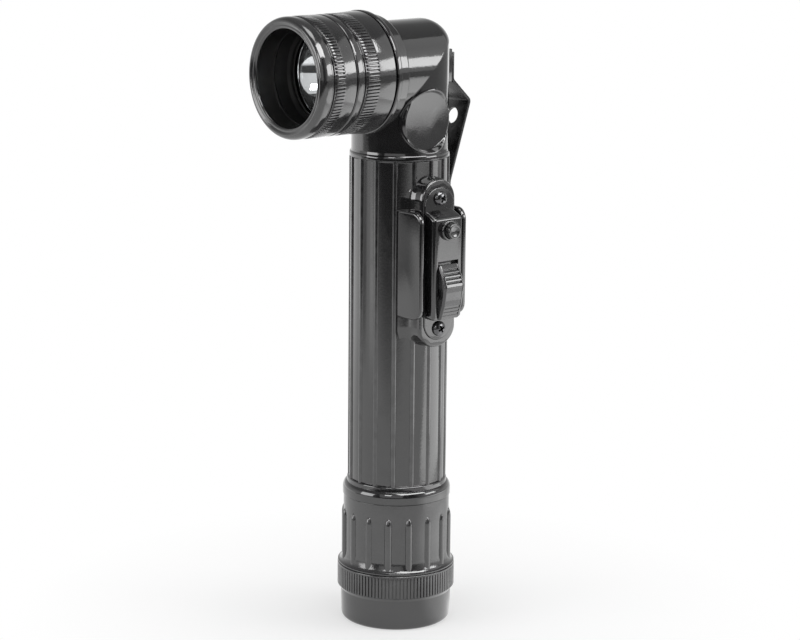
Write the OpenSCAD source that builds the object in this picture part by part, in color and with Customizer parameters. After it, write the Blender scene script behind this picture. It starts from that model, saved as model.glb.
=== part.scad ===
// Right-angle pocket flashlight for two slim cells, in millimetres.
// The barrel stands on +Z, the head looks along -Y, the switch is on +X and
// the belt clip on +Y. The origin is the middle of the foot's flat face.

/* [Cells] */
// Radius of one cell
cell_r = 7.1; // [6.6:0.1:7.8]
// Length of one cell with its contact button
cell_len = 50.5; // [44:0.5:56]
// Radius of a cell's contact button
nub_r = 2.6; // [2:0.1:3.2]
// Height of a cell's contact button
nub_h = 1.2; // [0.8:0.1:1.8]
// Room between a cell and the guide ribs
cell_gap = 0.45; // [0.3:0.05:0.8]

/* [Case] */
// Height of the guide ribs inside the barrel
guide_h = 2.25; // [1.8:0.05:3]
// Wall of the barrel outside the guide ribs
case_wall = 2.45; // [2:0.05:3.2]
// Height of the smooth band at the top of the barrel
band_h = 1.3; // [0.8:0.1:2.4]
// Height of the collar above the tail cap
collar_h = 5.7; // [4:0.1:8]
// How far the collar stands out from the barrel
collar_out = 1.5; // [1:0.1:1.8]
// Straight neck between the band and the head tube
neck_h = 8.05; // [7.6:0.05:11]
// Round of the elbow's top back corner
elbow_round = 5.7; // [3:0.1:8]
// Number of ribs along the barrel and along the tail cap
rib_count = 16; // [8:1:20]
// Half width of a barrel rib
rib_half = 0.6; // [0.4:0.05:0.8]
// How far a barrel rib stands out
rib_out = 0.42; // [0.2:0.02:0.55]
// Radius of the round spot face on each side of the neck
spot_r = 7.4; // [6:0.1:8]
// Wall left behind a spot face
spot_wall = 1.4; // [1:0.1:2]

/* [Tail] */
// Height of the smooth foot
foot_h = 8.1; // [7:0.1:10]
// Height of the foot cap's knurl
knurl_h = 6.7; // [5:0.1:9]
// Height of the tail cap above the foot cap
cap_h = 18.5; // [16:0.1:24]
// Wall of the tail cap round the thread
cap_wall = 1.45; // [1.2:0.05:2]
// Wall of the foot cap round its thread, at the knurl
foot_wall = 2; // [1.9:0.05:2.6]
// Floor of the foot cap
foot_floor = 2.2; // [1.6:0.1:2.8]
// Thickness of one spare filter
filter_t = 1.2; // [0.8:0.1:1.4]
// Height of the tail spring in place
spring_h = 12.3; // [10:0.1:15]
// Radius of the tail spring at the middle of its wire
spring_r = 5; // [4:0.1:6]
// Wire radius of the tail spring
spring_wire = 0.45; // [0.3:0.05:0.6]
// Turns of the tail spring
spring_turns = 5; // [4:1:6]

/* [Head] */
// Length of the lens ring
lens_ring_len = 12; // [11.5:0.1:15]
// Length of the filter ring
filter_ring_len = 10.7; // [10:0.1:14]
// Wall of the two rings round their threads
ring_wall = 2.1; // [2:0.05:3]
// Length of the lens ring's knurl
lens_knurl_len = 3.85; // [3:0.05:5]
// Length of the filter ring's knurl
filter_knurl_len = 2.5; // [2:0.1:3.5]
// Radius of the front opening
front_r = 11.95; // [11:0.05:12.4]
// Thickness of the lens
lens_t = 1.8; // [1.2:0.1:2.4]
// Wall of the reflector
reflector_t = 0.8; // [0.5:0.1:1]
// Radius of the bulb's glass
glass_r = 3.9; // [3.4:0.1:4.2]

/* [Switch] */
// Half width of the switch pad
pad_half = 5.5; // [5.3:0.1:6.2]
// How far the switch pad stands out from the barrel
pad_out = 3.05; // [2.6:0.05:3.6]
// Distance of the two switch screws
screw_span = 33; // [32.4:0.1:36]
// Radius of a switch screw's head
screw_head_r = 1.65; // [1.5:0.05:1.7]
// Half width of the switch cover
cover_half = 4.75; // [4.55:0.05:4.95]
// Height of the switch cover along the barrel
cover_len = 27.2; // [26.6:0.1:28]
// How far the cover's face stands out from its flange
cover_out = 3.4; // [3:0.1:4]
// Wall of the switch cover
cover_wall = 1; // [0.8:0.05:1.1]
// Travel of the slide switch
slide_travel = 3.5; // [2:0.1:3.6]
// Travel of the signal button
button_travel = 1; // [0.5:0.1:1.1]
// Radius of the signal button's pin
button_r = 1.95; // [1.6:0.05:2.1]
// How far the switch guards stand out from the pad
guard_out = 2; // [1:0.1:2.6]
// Thickness of a switch guard
guard_t = 1.5; // [1.2:0.1:3]

/* [Clip] */
// Width of the belt clip
clip_w = 10; // [8:0.5:12]
// Width of the belt clip at its tip
clip_tip_w = 8; // [6:0.5:10]
// Thickness of the belt clip
clip_t = 0.8; // [0.6:0.05:1]
// How far the clip's bend stands off the back of the case
clip_reach = 7.35; // [5:0.05:9]
// Radius of the hanging hole in the clip
clip_hole_r = 2.05; // [1.5:0.05:2.5]

/* [Fits] */
// Radial gap of the threads and sliding fits
thread_gap = 0.05; // [0.03:0.01:0.1]
// Gap between faces that part when something moves
part_gap = 0.1; // [0.05:0.05:0.2]
// Thickness of the sealing rings
seal_t = 0.6; // [0.4:0.05:0.7]
// Thickness of the brass strips
strip_t = 0.4; // [0.3:0.05:0.5]

/* [Hidden] */
$fn = 96;
// Overlap that makes a cut or a union go clean through
eps = 0.05;

// Radii of the barrel, from the cells outwards
guide_r = cell_r + cell_gap;
bore_r = guide_r + guide_h;
barrel_r = bore_r + case_wall;
band_r = barrel_r + rib_out;
collar_r = barrel_r + collar_out;
neck_bore_r = guide_r + 0.85;
guide_count = 6;
guide_w = 1.6;

// Radii of the tail, each thread outside the one it fits
tail_spigot_r = barrel_r - 0.1;
tail_bore_r = tail_spigot_r + thread_gap;
cap_r = tail_bore_r + cap_wall;
cap_rib_half = 0.65;
cap_rib_out = 0.8;
cap_rib_turn = -4;
foot_spigot_r = cap_r - 0.55;
foot_bore_r = foot_spigot_r + thread_gap;
knurl_r = foot_bore_r + foot_wall;
foot_r = knurl_r - 0.9;
flare_r = knurl_r - 0.1;
filter_r = foot_spigot_r - 1.45;
knurl_teeth = 104;
knurl_deep = 0.4;
// Depth of the land between the knurl's teeth
land_deep = knurl_deep - 0.06;

// Heights of the tail, from the foot upwards
foot_top = foot_h + knurl_h;
seam_z = foot_top + cap_h;
filter_stack = 3 * filter_t;
cap_under_z = foot_floor + filter_stack + 1.7;
cap_floor_t = 1.8;
cup_z = cap_under_z + cap_floor_t;
cup_t = 0.4;
spring_z = cup_z + cup_t;
cell_z = spring_z + spring_h;
tail_thread_len = 9;
spigot_z = seam_z - tail_thread_len;
foot_edge = 1.2;
flare_h = 3.7;
cap_bore_r = tail_spigot_r - 0.8;
cap_rib_top = seam_z - 4.55;

// Heights of the barrel and the head
cells_top = cell_z + 2 * cell_len;
shelf_t = 1.1;
band_top = cells_top - 0.4;
collar_top = seam_z + collar_h;
elbow_r = barrel_r;
// Height and depth of the axis that the elbow's back corner turns round
round_at = elbow_r - elbow_round;
head_z = band_top + neck_h + elbow_r;
spot_z = head_z - elbow_r + 0.2;
spot_floor = neck_bore_r + spot_wall;

// Head pieces, measured forward from the barrel's axis
head_bore_r = neck_bore_r + 1;
head_spigot_r = elbow_r + 0.5;
ring_bore_r = head_spigot_r + thread_gap;
ring_r = ring_bore_r + ring_wall;
flange_t0 = elbow_r - 0.25;
flange_t1 = flange_t0 + 1.55;
step_t0 = flange_t0 - 2.1;
fillet_t0 = step_t0 - 1.2;
flange_r = ring_r + 0.4;
step_r = elbow_r + 1.9;
head_seal_t = 0.35;
lens_ring_t0 = flange_t1 + head_seal_t + 0.02;
lens_ring_t1 = lens_ring_t0 + lens_ring_len;
lip_t = 0.8;
lens_seal_t = 0.5;
lens_t1 = lens_ring_t1 - lip_t - lens_seal_t;
lens_t0 = lens_t1 - lens_t;
rim_t = 1;
head_spigot_t1 = lens_t0 - rim_t;
spigot_bore_r = head_spigot_r - 1.6;
lens_r = ring_bore_r - 0.55;
lip_r = lens_r - 1.6;
filter_spigot_r = lens_r + 0.9;
filter_spigot_len = 4.4;
filter_spigot_bore = lens_r - 0.6;
filter_ring_t0 = lens_ring_t1 + part_gap;
filter_ring_t1 = filter_ring_t0 + filter_ring_len;
filter_bore_r = filter_spigot_r + thread_gap;
filter_bore_t1 = lens_ring_t1 + filter_spigot_len + seal_t + part_gap;
bead_r = 1.4;
groove_deep = 0.7;
groove_w = 0.5;
ring_edge = 0.3;
// Radius of the lens ring's back edge, which flares from its knurl
ring_flare_r = ring_r + 0.3;
ring_nose = 2.95;
nose_slope = 1.6;
filter_band = 4.05;

// Reflector and bulb, on the head's axis
bulb_flange_t = elbow_r - 3.1;
mirror_r = spigot_bore_r - reflector_t - 0.2;
mirror_t1 = lens_t0 - 0.2;
mirror_t0 = bulb_flange_t + 2;
hole_r = glass_r + 0.6;
mirror_k = (mirror_t1 - mirror_t0) / (mirror_r * mirror_r);
hole_t = mirror_t0 + mirror_k * hole_r * hole_r;
bulb_flange_h = 0.6;
bulb_flange_r = glass_r + 1.6;
bulb_shell_r = glass_r + 0.1;
bulb_tip_t = 2.4;
glass_len = 9.9;
neck_outer = hole_r + 0.8;
retainer_gap = 0.06;
retainer_back = 1.4;
retainer_front = 3;
bulb_room = 0.1;

// Brass strips beside the cells
strip_x = guide_r - 0.05;
strip_y0 = 0.6;
strip_y1 = 2.6;

// Switch, measured out along +X and up along +Z
pad_x = barrel_r + pad_out;
pad_top = band_top - 5.6;
pad_len = 42.8;
pad_mid = pad_top - pad_len / 2;
// The flange and its gasket lie in a recess of the pad
recess_deep = 0.8;
recess_gap = 0.15;
recess_x = pad_x - recess_deep;
gasket_t = 0.4;
flange_x0 = recess_x + gasket_t;
cover_flange_t = 0.7;
tab_over = 2.8;
flange_x = flange_x0 + cover_flange_t;
face_x = flange_x + cover_out;
inner_x = face_x - cover_wall;
cover_z0 = pad_mid - cover_len / 2;
cover_z1 = pad_mid + cover_len / 2;
cover_slope = 1.6;
inner_half = cover_half - cover_wall;
screw_r = 1;
screw_head_h = 1;
screw_deep = 3.4;
screw_rim = 0.4;
slot_half = 0.18;
slot_deep = 0.5;
screw_z = [pad_mid - screw_span / 2, pad_mid + screw_span / 2];
button_z = cover_z1 - 4.6;
button_flange_r = 2.45;
window_half = 3.35;
window_top = button_z - button_flange_r - slide_travel - 1.75;
thumb_half = window_half - 0.15;
thumb_z0 = cover_z0 + 0.2;
thumb_z1 = window_top - 0.8;
thumb_peak_z = thumb_z1 - 5;
thumb_out = 2.9;
thumb_lift = 0.25;
thumb_knee_h = 2.6;
thumb_knee_in = 1.2;
thumb_brow_h = 2.4;
thumb_brow_in = 0.2;
grip_count = 4;
grip_r = 0.3;
grip_turn = 16;
flank_r = 1.3;
flank_deep = 0.5;
carrier_half = inner_half - 0.1;
carrier_x1 = inner_x - part_gap;
carrier_t = 1.4;
carrier_z0 = cover_z0 + cover_wall + slide_travel + 0.2;
carrier_z1 = window_top + slide_travel + 0.4;
cavity_half = 4;
cavity_z0 = cover_z0 + 0.9;
cavity_z1 = cover_z1 - 0.9;
board_half = cavity_half - 0.1;
board_x = bore_r - 0.2;
board_t = 1;
stud_y = (strip_y0 + strip_y1) / 2;
stud_r = 0.7;
stud_head_r = 1.1;
stud_head_t = 0.55;
stem_half = 2;
stud_x = board_x + board_t + stud_head_t;
slide_stud_z = carrier_z0 + 3.6;
bush_r = 2.6;
bush_out = 0.9;
button_tip_x = face_x + 2.5;
button_flange_t = 0.8;
button_stem_r = 0.8;
tunnel_x0 = stud_x + 0.5 + button_travel + 0.4;
tunnel_t = 0.8;
tunnel_half_z = 2.7;
button_flange_x0 = inner_x - button_flange_t - part_gap;
contact_disc_r = 2;
contact_disc_t = 0.5;
contact_disc_x = stud_x + part_gap / 2 + button_travel;
guard_x = pad_x + guard_out;
guard_y0 = pad_half + 0.6;
guard_y1 = guard_y0 + guard_t;
guard_round = 2.4;
// How deep the pad and the guards reach into the barrel
wall_reach = 4;

// Clip, as points in the plane of its bend
clip_boss_out = 0.65;
clip_boss_edge = 0.2;
clip_boss_under = 0.5;
clip_boss_over = 0.9;
clip_pad_y = elbow_r + clip_boss_out;
clip_mid_y = clip_pad_y + clip_t / 2;
clip_pad_h = 7;
clip_fold_h = 5.6;
clip_blade_h = 21;
clip_lead_h = 4.6;
clip_lead_out = 1.4;
clip_rest_gap = 0.1;
clip_top_z = head_z + 3.7;
clip_bend_z = clip_top_z - clip_pad_h;
clip_out_y = elbow_r + clip_reach - clip_t / 2;
clip_out_z = clip_bend_z - clip_fold_h;
clip_touch_y = band_r + clip_rest_gap + clip_t / 2;
clip_touch_z = clip_out_z - clip_blade_h;
clip_tip_y = clip_touch_y + clip_lead_out;
clip_tip_z = clip_touch_z - clip_lead_h;
clip_points = [
    [clip_mid_y, clip_top_z], [clip_mid_y, clip_bend_z], [clip_out_y, clip_out_z],
    [clip_touch_y, clip_touch_z], [clip_tip_y, clip_tip_z]
];
clip_bends = [0, 1.6, 1.2, 5, 0];
blade_run = clip_points[3] - clip_points[2];
hole_down = 4.5;
hole_at = clip_points[2] + hole_down * blade_run / norm(blade_run);
hole_tilt = atan2(-blade_run[0], -blade_run[1]);
rivet_x = 2.6;
rivet_z = (clip_top_z + clip_bend_z) / 2;
rivet_r = 0.9;
rivet_head_r = 1.6;
rivet_head_h = 0.8;
rivet_deep = 2.6;

case_black = [0.09, 0.09, 0.1];
knob_black = [0.14, 0.14, 0.15];
rubber_black = [0.05, 0.05, 0.05];
brass = [0.78, 0.62, 0.3];
steel = [0.62, 0.64, 0.66];

// A box between two corners
module block(x0, x1, y0, y1, z0, z1) {
    translate([x0, y0, z0]) cube([x1 - x0, y1 - y0, z1 - z0]);
}

// A tube or disc standing on z0
module tube(r_out, r_in, z0, z1) {
    difference() {
        translate([0, 0, z0]) cylinder(r = r_out, h = z1 - z0);
        if (r_in > 0) translate([0, 0, z0 - 1]) cylinder(r = r_in, h = z1 - z0 + 2);
    }
}

// Turns upright shapes so that their height runs forward along the head
module along_head() {
    translate([0, 0, head_z]) rotate([90, 0, 0]) children();
}

// Turns upright shapes so that their height runs out along the switch
module along_switch(z) {
    translate([0, 0, z]) rotate([0, 90, 0]) children();
}

// A flat outline in y and z, made a plate from x0 to x1
module plate_x(x0, x1) {
    translate([x0, 0, 0]) rotate([90, 0, 90]) linear_extrude(x1 - x0) children();
}

// A long outline with round ends, in y and z
module stadium(half, z0, z1) {
    union() {
        translate([-half, z0 + half]) square([2 * half, z1 - z0 - 2 * half]);
        translate([0, z0 + half]) circle(r = half);
        translate([0, z1 - half]) circle(r = half);
    }
}

// A straight knurl whose teeth run along z
module knurl(r, z0, z1) {
    step = 360 / knurl_teeth;
    ring = [for (i = [0 : 2 * knurl_teeth - 1])
        (r - (i % 2) * knurl_deep) * [cos(i * step / 2), sin(i * step / 2)]];
    translate([0, 0, z0]) linear_extrude(z1 - z0) polygon(ring);
}

// Points of an arc, for profiles and outlines
function arc(cx, cy, r, a0, a1, n = 8) =
    [for (i = [0 : n]) let (a = a0 + (a1 - a0) * i / n) [cx + r * cos(a), cy + r * sin(a)]];

// Points of a bent strip's middle line, each bend an arc
function unit(v) = v / norm(v);
function bend(p, q, s, r, n = 6) =
    r == 0 ? [q] :
    let (u = unit(p - q), v = unit(s - q), half = acos(u * v) / 2, run = r / tan(half),
        middle = q + unit(u + v) * r / sin(half), from = q + u * run - middle,
        side = sign(cross(from, q + v * run - middle)), sweep = 180 - 2 * half)
    [for (i = [0 : n]) let (a = side * sweep * i / n)
        middle + [from[0] * cos(a) - from[1] * sin(a), from[0] * sin(a) + from[1] * cos(a)]];
function bent(points, radii) =
    let (last = len(points) - 1)
    concat([points[0]],
        [for (i = [1 : last - 1]) each bend(points[i - 1], points[i], points[i + 1], radii[i])],
        [points[last]]);
function side_of(line, d) =
    [for (i = [0 : len(line) - 1])
        let (p = line[max(i - 1, 0)], q = line[min(i + 1, len(line) - 1)], run = unit(q - p))
        line[i] + d * [-run[1], run[0]]];

// A coil spring as one tube: the wire's ring of points follows a helix
wire_sides = 6;
curl_rings = 8;
function helix_at(r, h, wire, turns, s) =
    let (a = 360 * turns * s) [r * cos(a), r * sin(a), wire + (h - 2 * wire) * s];
function spring_rings(r, h, wire, turns) =
    [for (i = [0 : curl_rings * turns])
        let (s = i / (curl_rings * turns), a = 360 * turns * s, c = helix_at(r, h, wire, turns, s))
        [for (k = [0 : wire_sides - 1]) let (b = 360 * k / wire_sides)
            c + wire * [cos(b) * cos(a), cos(b) * sin(a), sin(b)]]];
module spring(r, h, wire, turns) {
    rings = spring_rings(r, h, wire, turns);
    last = len(rings) - 1;
    points = [for (ring = rings) each ring];
    sides = [for (i = [0 : last - 1], k = [0 : wire_sides - 1])
        let (a = i * wire_sides + k, b = i * wire_sides + (k + 1) % wire_sides)
        each [[a, b, a + wire_sides], [b, b + wire_sides, a + wire_sides]]];
    start = [for (k = [1 : wire_sides - 2]) [0, k + 1, k]];
    end = [for (k = [1 : wire_sides - 2])
        [last * wire_sides, last * wire_sides + k, last * wire_sides + k + 1]];
    polyhedron(points, concat(start, sides, end));
    echo(least_gap = (h - 2 * wire) / turns - 2 * wire);
}

// The elbow's outside: two equal tubes mitred, with the back corner turned round
module elbow(r, z0, front) {
    // Keeps the turned corner's skin just inside the tubes
    skin = 0.02;
    difference() {
        union() {
            intersection() {
                translate([0, 0, z0]) cylinder(r = r, h = head_z + r - z0);
                translate([0, r + 1, 0]) rotate([90, 0, 0]) linear_extrude(2 * r + 2) union() {
                    translate([-r - 1, z0 - 1]) square([2 * r + 2, head_z - z0 + 1]);
                    translate([0, head_z]) circle(r = r);
                }
            }
            intersection() {
                along_head() translate([0, 0, -r]) cylinder(r = r, h = front + r);
                translate([0, 0, head_z - r - 1]) linear_extrude(2 * r + 2) union() {
                    translate([-r - 1, -front - 1]) square([2 * r + 2, front + 1]);
                    circle(r = r);
                }
            }
        }
        difference() {
            block(-r - 1, r + 1, round_at, r + 1, head_z + round_at, head_z + r + 1);
            translate([0, round_at, head_z + round_at]) rotate([0, 90, 0]) rotate_extrude() intersection() {
                translate([-round_at, 0]) circle(r = r - skin);
                translate([0, -r]) square([r, 2 * r]);
            }
        }
    }
}

// The inside of the barrel, neck and head
module case_bore() {
    translate([0, 0, spigot_z - 1]) cylinder(r = guide_r, h = cells_top - shelf_t - spigot_z + 1);
    difference() {
        translate([0, 0, spigot_z - 1]) cylinder(r = bore_r, h = cells_top - shelf_t - spigot_z + 1);
        for (i = [0 : guide_count - 1])
            rotate([0, 0, (i + 0.5) * 360 / guide_count])
                block(guide_r - 1, bore_r + 1, -guide_w / 2, guide_w / 2, spigot_z - 2, cells_top);
    }
    translate([0, 0, cells_top - shelf_t - 1]) cylinder(r = nub_r + 1.4, h = shelf_t + 2);
    translate([0, 0, cells_top]) cylinder(r = neck_bore_r, h = head_z - cells_top);
    block(strip_x - 0.3, strip_x + strip_t + 0.3, strip_y0 - 0.3, strip_y1 + 0.3,
        cells_top - shelf_t - 1, cells_top + 1);
    along_head() {
        translate([0, 0, -7.5]) cylinder(r = head_bore_r, h = head_spigot_t1 + 8);
        translate([0, 0, flange_t0 - 0.7]) cylinder(r = spigot_bore_r, h = head_spigot_t1);
    }
}

// One raised guard beside the switch, with round outer corners
module guard(side) {
    length = cover_len;
    low = barrel_r - wall_reach;
    mirror([0, side < 0 ? 1 : 0, 0])
        translate([0, guard_y1, pad_mid - length / 2]) rotate([90, 0, 0])
            linear_extrude(guard_y1 - guard_y0) polygon(concat(
                [[low, 0]], arc(guard_x - guard_round, guard_round, guard_round, -90, 0),
                arc(guard_x - guard_round, length - guard_round, guard_round, 0, 90),
                [[low, length]]));
}

module case_body() {
    union() {
        tube(tail_spigot_r, 0, spigot_z, seam_z + eps);
        // Collar, barrel, band and flare as one turned shape
        rotate_extrude() polygon(concat(
            [[0, seam_z], [collar_r - 0.2, seam_z], [collar_r, seam_z + 0.3], [collar_r, seam_z + 2.2]],
            arc(collar_r - collar_out, seam_z + 2.2, collar_out, 0, 60, 4),
            [[barrel_r + 0.3, collar_top - 1], [barrel_r, collar_top - 0.4]],
            [[barrel_r, band_top - band_h - 0.3], [band_r, band_top - band_h], [band_r, band_top - 0.2],
                [band_r - 0.2, band_top], [0, band_top]]));
        for (i = [0 : rib_count - 1])
            rotate([0, 0, i * 360 / rib_count])
                translate([barrel_r + rib_out - rib_half, 0, collar_top - 1])
                    cylinder(r = rib_half, h = band_top - band_h / 2 - collar_top + 1, $fn = 24);
        elbow(elbow_r, band_top - 1, flange_t0);
        // Fillet, step, flange and thread of the head as one turned shape
        along_head() rotate_extrude() polygon([
            [0, fillet_t0], [elbow_r - eps, fillet_t0], [step_r - 0.9, step_t0 - 0.3], [step_r - 0.2, step_t0],
            [step_r, step_t0 + 0.4], [step_r, flange_t0], [flange_r - 0.4, flange_t0],
            [flange_r, flange_t0 + 0.4], [flange_r, flange_t1 - 0.2], [flange_r - 0.2, flange_t1],
            [head_spigot_r, flange_t1], [head_spigot_r, head_spigot_t1], [0, head_spigot_t1]]);
        plate_x(barrel_r - wall_reach, pad_x) stadium(pad_half, pad_top - pad_len, pad_top);
        guard(1);
        guard(-1);
        block(-clip_w / 2 - clip_boss_edge, clip_w / 2 + clip_boss_edge, elbow_r - 6, clip_pad_y,
            clip_bend_z - clip_boss_under, clip_top_z + clip_boss_over);
    }
}

module case() {
    color(case_black) difference() {
        case_body();
        case_bore();
        for (side = [-1, 1])
            translate([side * (spot_floor + 10), 0, spot_z]) rotate([0, 90, 0])
                cylinder(r = spot_r, h = 20, center = true);
        plate_x(recess_x, pad_x + 1) flange_outline(recess_gap);
        block(bore_r - wall_reach, board_x, -strip_y1 - 0.3, strip_y1 + 0.3, cavity_z0, cavity_z1);
        block(board_x, pad_x + 1, -cavity_half, cavity_half, cavity_z0, cavity_z1);
        for (z = screw_z)
            along_switch(z) cylinder(r = screw_r + 0.02, h = pad_x + 1);
        for (x = [-rivet_x, rivet_x])
            translate([x, clip_pad_y - rivet_deep - 0.1, rivet_z]) rotate([-90, 0, 0])
                cylinder(r = rivet_r + 0.02, h = rivet_deep + 2);
    }
}

module cell(z) {
    color([0.2, 0.24, 0.3]) union() {
        tube(cell_r, 0, z, z + cell_len - nub_h);
        tube(nub_r, 0, z + cell_len - nub_h - eps, z + cell_len);
    }
}

module lower_cell() { cell(cell_z); }

module upper_cell() { cell(cell_z + cell_len); }

// Brass angle from the upper cell's button to the bulb's tip
module lamp_contact() {
    color(brass) union() {
        block(-3, 3, -bulb_tip_t, 5, cells_top, cells_top + strip_t);
        block(-2, 2, -bulb_tip_t, -bulb_tip_t + strip_t, cells_top, head_z + 2.4);
    }
}

// Brass strip from the bulb's retaining ring down to the switch
module return_strip() {
    reach = bulb_flange_t + 1.5;
    color(brass) plate_x(strip_x, strip_x + strip_t) polygon([
        [strip_y0, slide_stud_z - 2], [strip_y1, slide_stud_z - 2], [strip_y1, head_z + 1.5],
        [-reach, head_z + 1.5], [-reach, head_z - 1.5], [strip_y0, head_z - 1.5]]);
}

// Brass strip from the switch down to the tail cap's contact cup
module tail_strip() {
    color(brass) union() {
        block(strip_x, strip_x + strip_t, -strip_y1, -strip_y0, spigot_z - strip_t, button_z + 2);
        block(strip_x, cap_bore_r + 0.2, -strip_y1, -strip_y0, spigot_z - strip_t, spigot_z);
    }
}

// Insulating board in the case, with the spring seat under the button
module switch_board() {
    color([0.35, 0.24, 0.16]) difference() {
        union() {
            block(board_x, board_x + board_t, -board_half, board_half, cavity_z0 + 0.1, cavity_z1 - 0.1);
            block(tunnel_x0, tunnel_x0 + tunnel_t, -board_half, board_half,
                button_z - tunnel_half_z, button_z + tunnel_half_z);
            for (side = [-1, 1])
                block(board_x, tunnel_x0 + tunnel_t, side * (board_half - 0.3) - 0.3,
                    side * (board_half - 0.3) + 0.3, button_z - tunnel_half_z, button_z + tunnel_half_z);
        }
        for (z = [slide_stud_z, button_z], y = [-stud_y, stud_y])
            translate([0, y, 0]) along_switch(z) cylinder(r = stud_r + 0.02, h = board_x + board_t + 0.2);
        along_switch(button_z) cylinder(r = button_stem_r + thread_gap, h = tunnel_x0 + 3);
    }
}

module contact_studs() {
    color(brass)
        for (z = [slide_stud_z, button_z], y = [-stud_y, stud_y])
            translate([0, y, 0]) along_switch(z) union() {
                tube(stud_r, 0, strip_x + strip_t, stud_x - stud_head_t + eps);
                tube(stud_head_r, 0, stud_x - stud_head_t, stud_x);
            }
}

// Outline of the cover's flange and its gasket
module flange_outline(grow) {
    over = screw_span / 2 + tab_over + grow;
    stadium(cover_half + grow, pad_mid - over, pad_mid + over);
}

module switch_gasket() {
    color(rubber_black) difference() {
        plate_x(recess_x, flange_x0) flange_outline(0);
        block(recess_x - 1, flange_x0 + 1, -cavity_half, cavity_half, cavity_z0, cavity_z1);
        for (z = screw_z)
            along_switch(z) cylinder(r = screw_r + 0.02, h = flange_x0 + 1);
    }
}

// Moulded cover with a flange, a hollow box, the slide's window and the button's hole
module switch_cover() {
    color(case_black) difference() {
        union() {
            plate_x(flange_x0, flange_x) flange_outline(0);
            translate([0, cover_half, 0]) rotate([90, 0, 0]) linear_extrude(2 * cover_half) polygon([
                [flange_x0, cover_z0], [face_x - 0.5, cover_z0], [face_x, cover_z0 + 0.5],
                [face_x, cover_z1 - cover_slope], [flange_x, cover_z1], [flange_x0, cover_z1]]);
        }
        translate([0, inner_half, 0]) rotate([90, 0, 0]) linear_extrude(2 * inner_half) polygon([
            [flange_x0 - 1, cover_z0 + cover_wall], [inner_x, cover_z0 + cover_wall],
            [inner_x, cover_z1 - cover_slope - 0.45], [flange_x0 - 1, cover_z1 - cover_wall - 0.2]]);
        block(inner_x - eps, face_x + 1, -window_half, window_half, cover_z0 - 1, window_top);
        along_switch(button_z) cylinder(r = bush_r - 0.4, h = face_x + 1);
        for (z = screw_z)
            along_switch(z) cylinder(r = screw_r + 0.1, h = flange_x + 0.3);
    }
}

// Two pan-head screws with cross slots
module switch_screws() {
    top = flange_x + screw_head_h;
    round = screw_head_h - screw_rim;
    slot_len = screw_head_r - round;
    color(steel)
        for (z = screw_z)
            along_switch(z) difference() {
                union() {
                    tube(screw_r, 0, pad_x - screw_deep, flange_x + eps);
                    rotate_extrude() polygon(concat(
                        [[0, flange_x], [screw_head_r, flange_x], [screw_head_r, flange_x + screw_rim]],
                        arc(screw_head_r - round, flange_x + screw_rim, round, 0, 90, 6),
                        [[0, top]]));
                }
                for (turn = [20, 110])
                    rotate([0, 0, turn])
                        block(-slot_len, slot_len, -slot_half, slot_half, top - slot_deep, top + 1);
            }
}

module button_bush() {
    color(knob_black) along_switch(button_z) union() {
        tube(bush_r, button_r + thread_gap, face_x, face_x + bush_out);
        tube(bush_r - 0.42, button_r + thread_gap, inner_x, face_x + eps);
    }
}

// Thumb, neck and carrier of the slide switch
module slide_switch() {
    stem_x = stud_x + part_gap / 2 + strip_t;
    lift_x = inner_x + part_gap;
    face = face_x + thumb_lift;
    peak = face_x + thumb_out;
    rise = peak - face;
    fall = thumb_z1 - thumb_peak_z;
    color(knob_black) difference() {
        union() {
            block(carrier_x1 - carrier_t, carrier_x1, -carrier_half, carrier_half, carrier_z0, carrier_z1);
            block(stem_x, carrier_x1 - carrier_t + eps, -stem_half, stem_half,
                slide_stud_z - stem_half, slide_stud_z + stem_half);
            block(carrier_x1 - eps, lift_x + eps, -thumb_half, thumb_half, carrier_z0, thumb_z1);
            block(lift_x, face + eps, -thumb_half, thumb_half, thumb_z0 + thumb_lift, thumb_z1);
            translate([0, thumb_half, 0]) rotate([90, 0, 0]) linear_extrude(2 * thumb_half) polygon(concat(
                [[face, thumb_z0], [peak - thumb_knee_in, thumb_z0 + thumb_knee_h],
                    [peak - thumb_brow_in, thumb_peak_z - thumb_brow_h]],
                [for (i = [0 : 8]) let (a = 90 * i / 8)
                    [face + rise * cos(a), thumb_peak_z + fall * sin(a)]]));
        }
        // Grip grooves across the upper slope
        for (i = [1 : grip_count])
            let (a = grip_turn * i)
            translate([face + rise * cos(a), 0, thumb_peak_z + fall * sin(a)]) rotate([90, 0, 0])
                cylinder(r = grip_r, h = 2 * thumb_half - 2 * grip_r, center = true, $fn = 24);
        // Hollow flanks under the thumb's rim
        for (side = [-1, 1])
            translate([face + 0.8 * flank_r, side * thumb_half, thumb_peak_z - flank_r]) rotate([90, 0, 0])
                cylinder(r = flank_r, h = 2 * flank_deep, center = true, $fn = 32);
    }
}

// Brass bridge that joins the two lower studs while the slide is up
module slide_contact() {
    color(brass) block(stud_x + part_gap / 2, stud_x + part_gap / 2 + strip_t, -2.8, 2.8,
        slide_stud_z - 1.8, slide_stud_z + 1.8);
}

module signal_button() {
    color(knob_black) along_switch(button_z) union() {
        rotate_extrude() polygon(concat(
            [[0, button_flange_x0], [button_flange_r, button_flange_x0],
                [button_flange_r, button_flange_x0 + button_flange_t],
                [button_r, button_flange_x0 + button_flange_t]],
            arc(button_r - 0.5, button_tip_x - 0.5, 0.5, 0, 90, 6),
            [[0, button_tip_x]]));
        tube(button_stem_r, 0, contact_disc_x + contact_disc_t, button_flange_x0 + eps);
    }
}

// Brass disc on the button's stem, which joins the two upper studs when pressed
module button_contact() {
    color(brass) along_switch(button_z)
        tube(contact_disc_r, 0, contact_disc_x, contact_disc_x + contact_disc_t);
}

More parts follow.
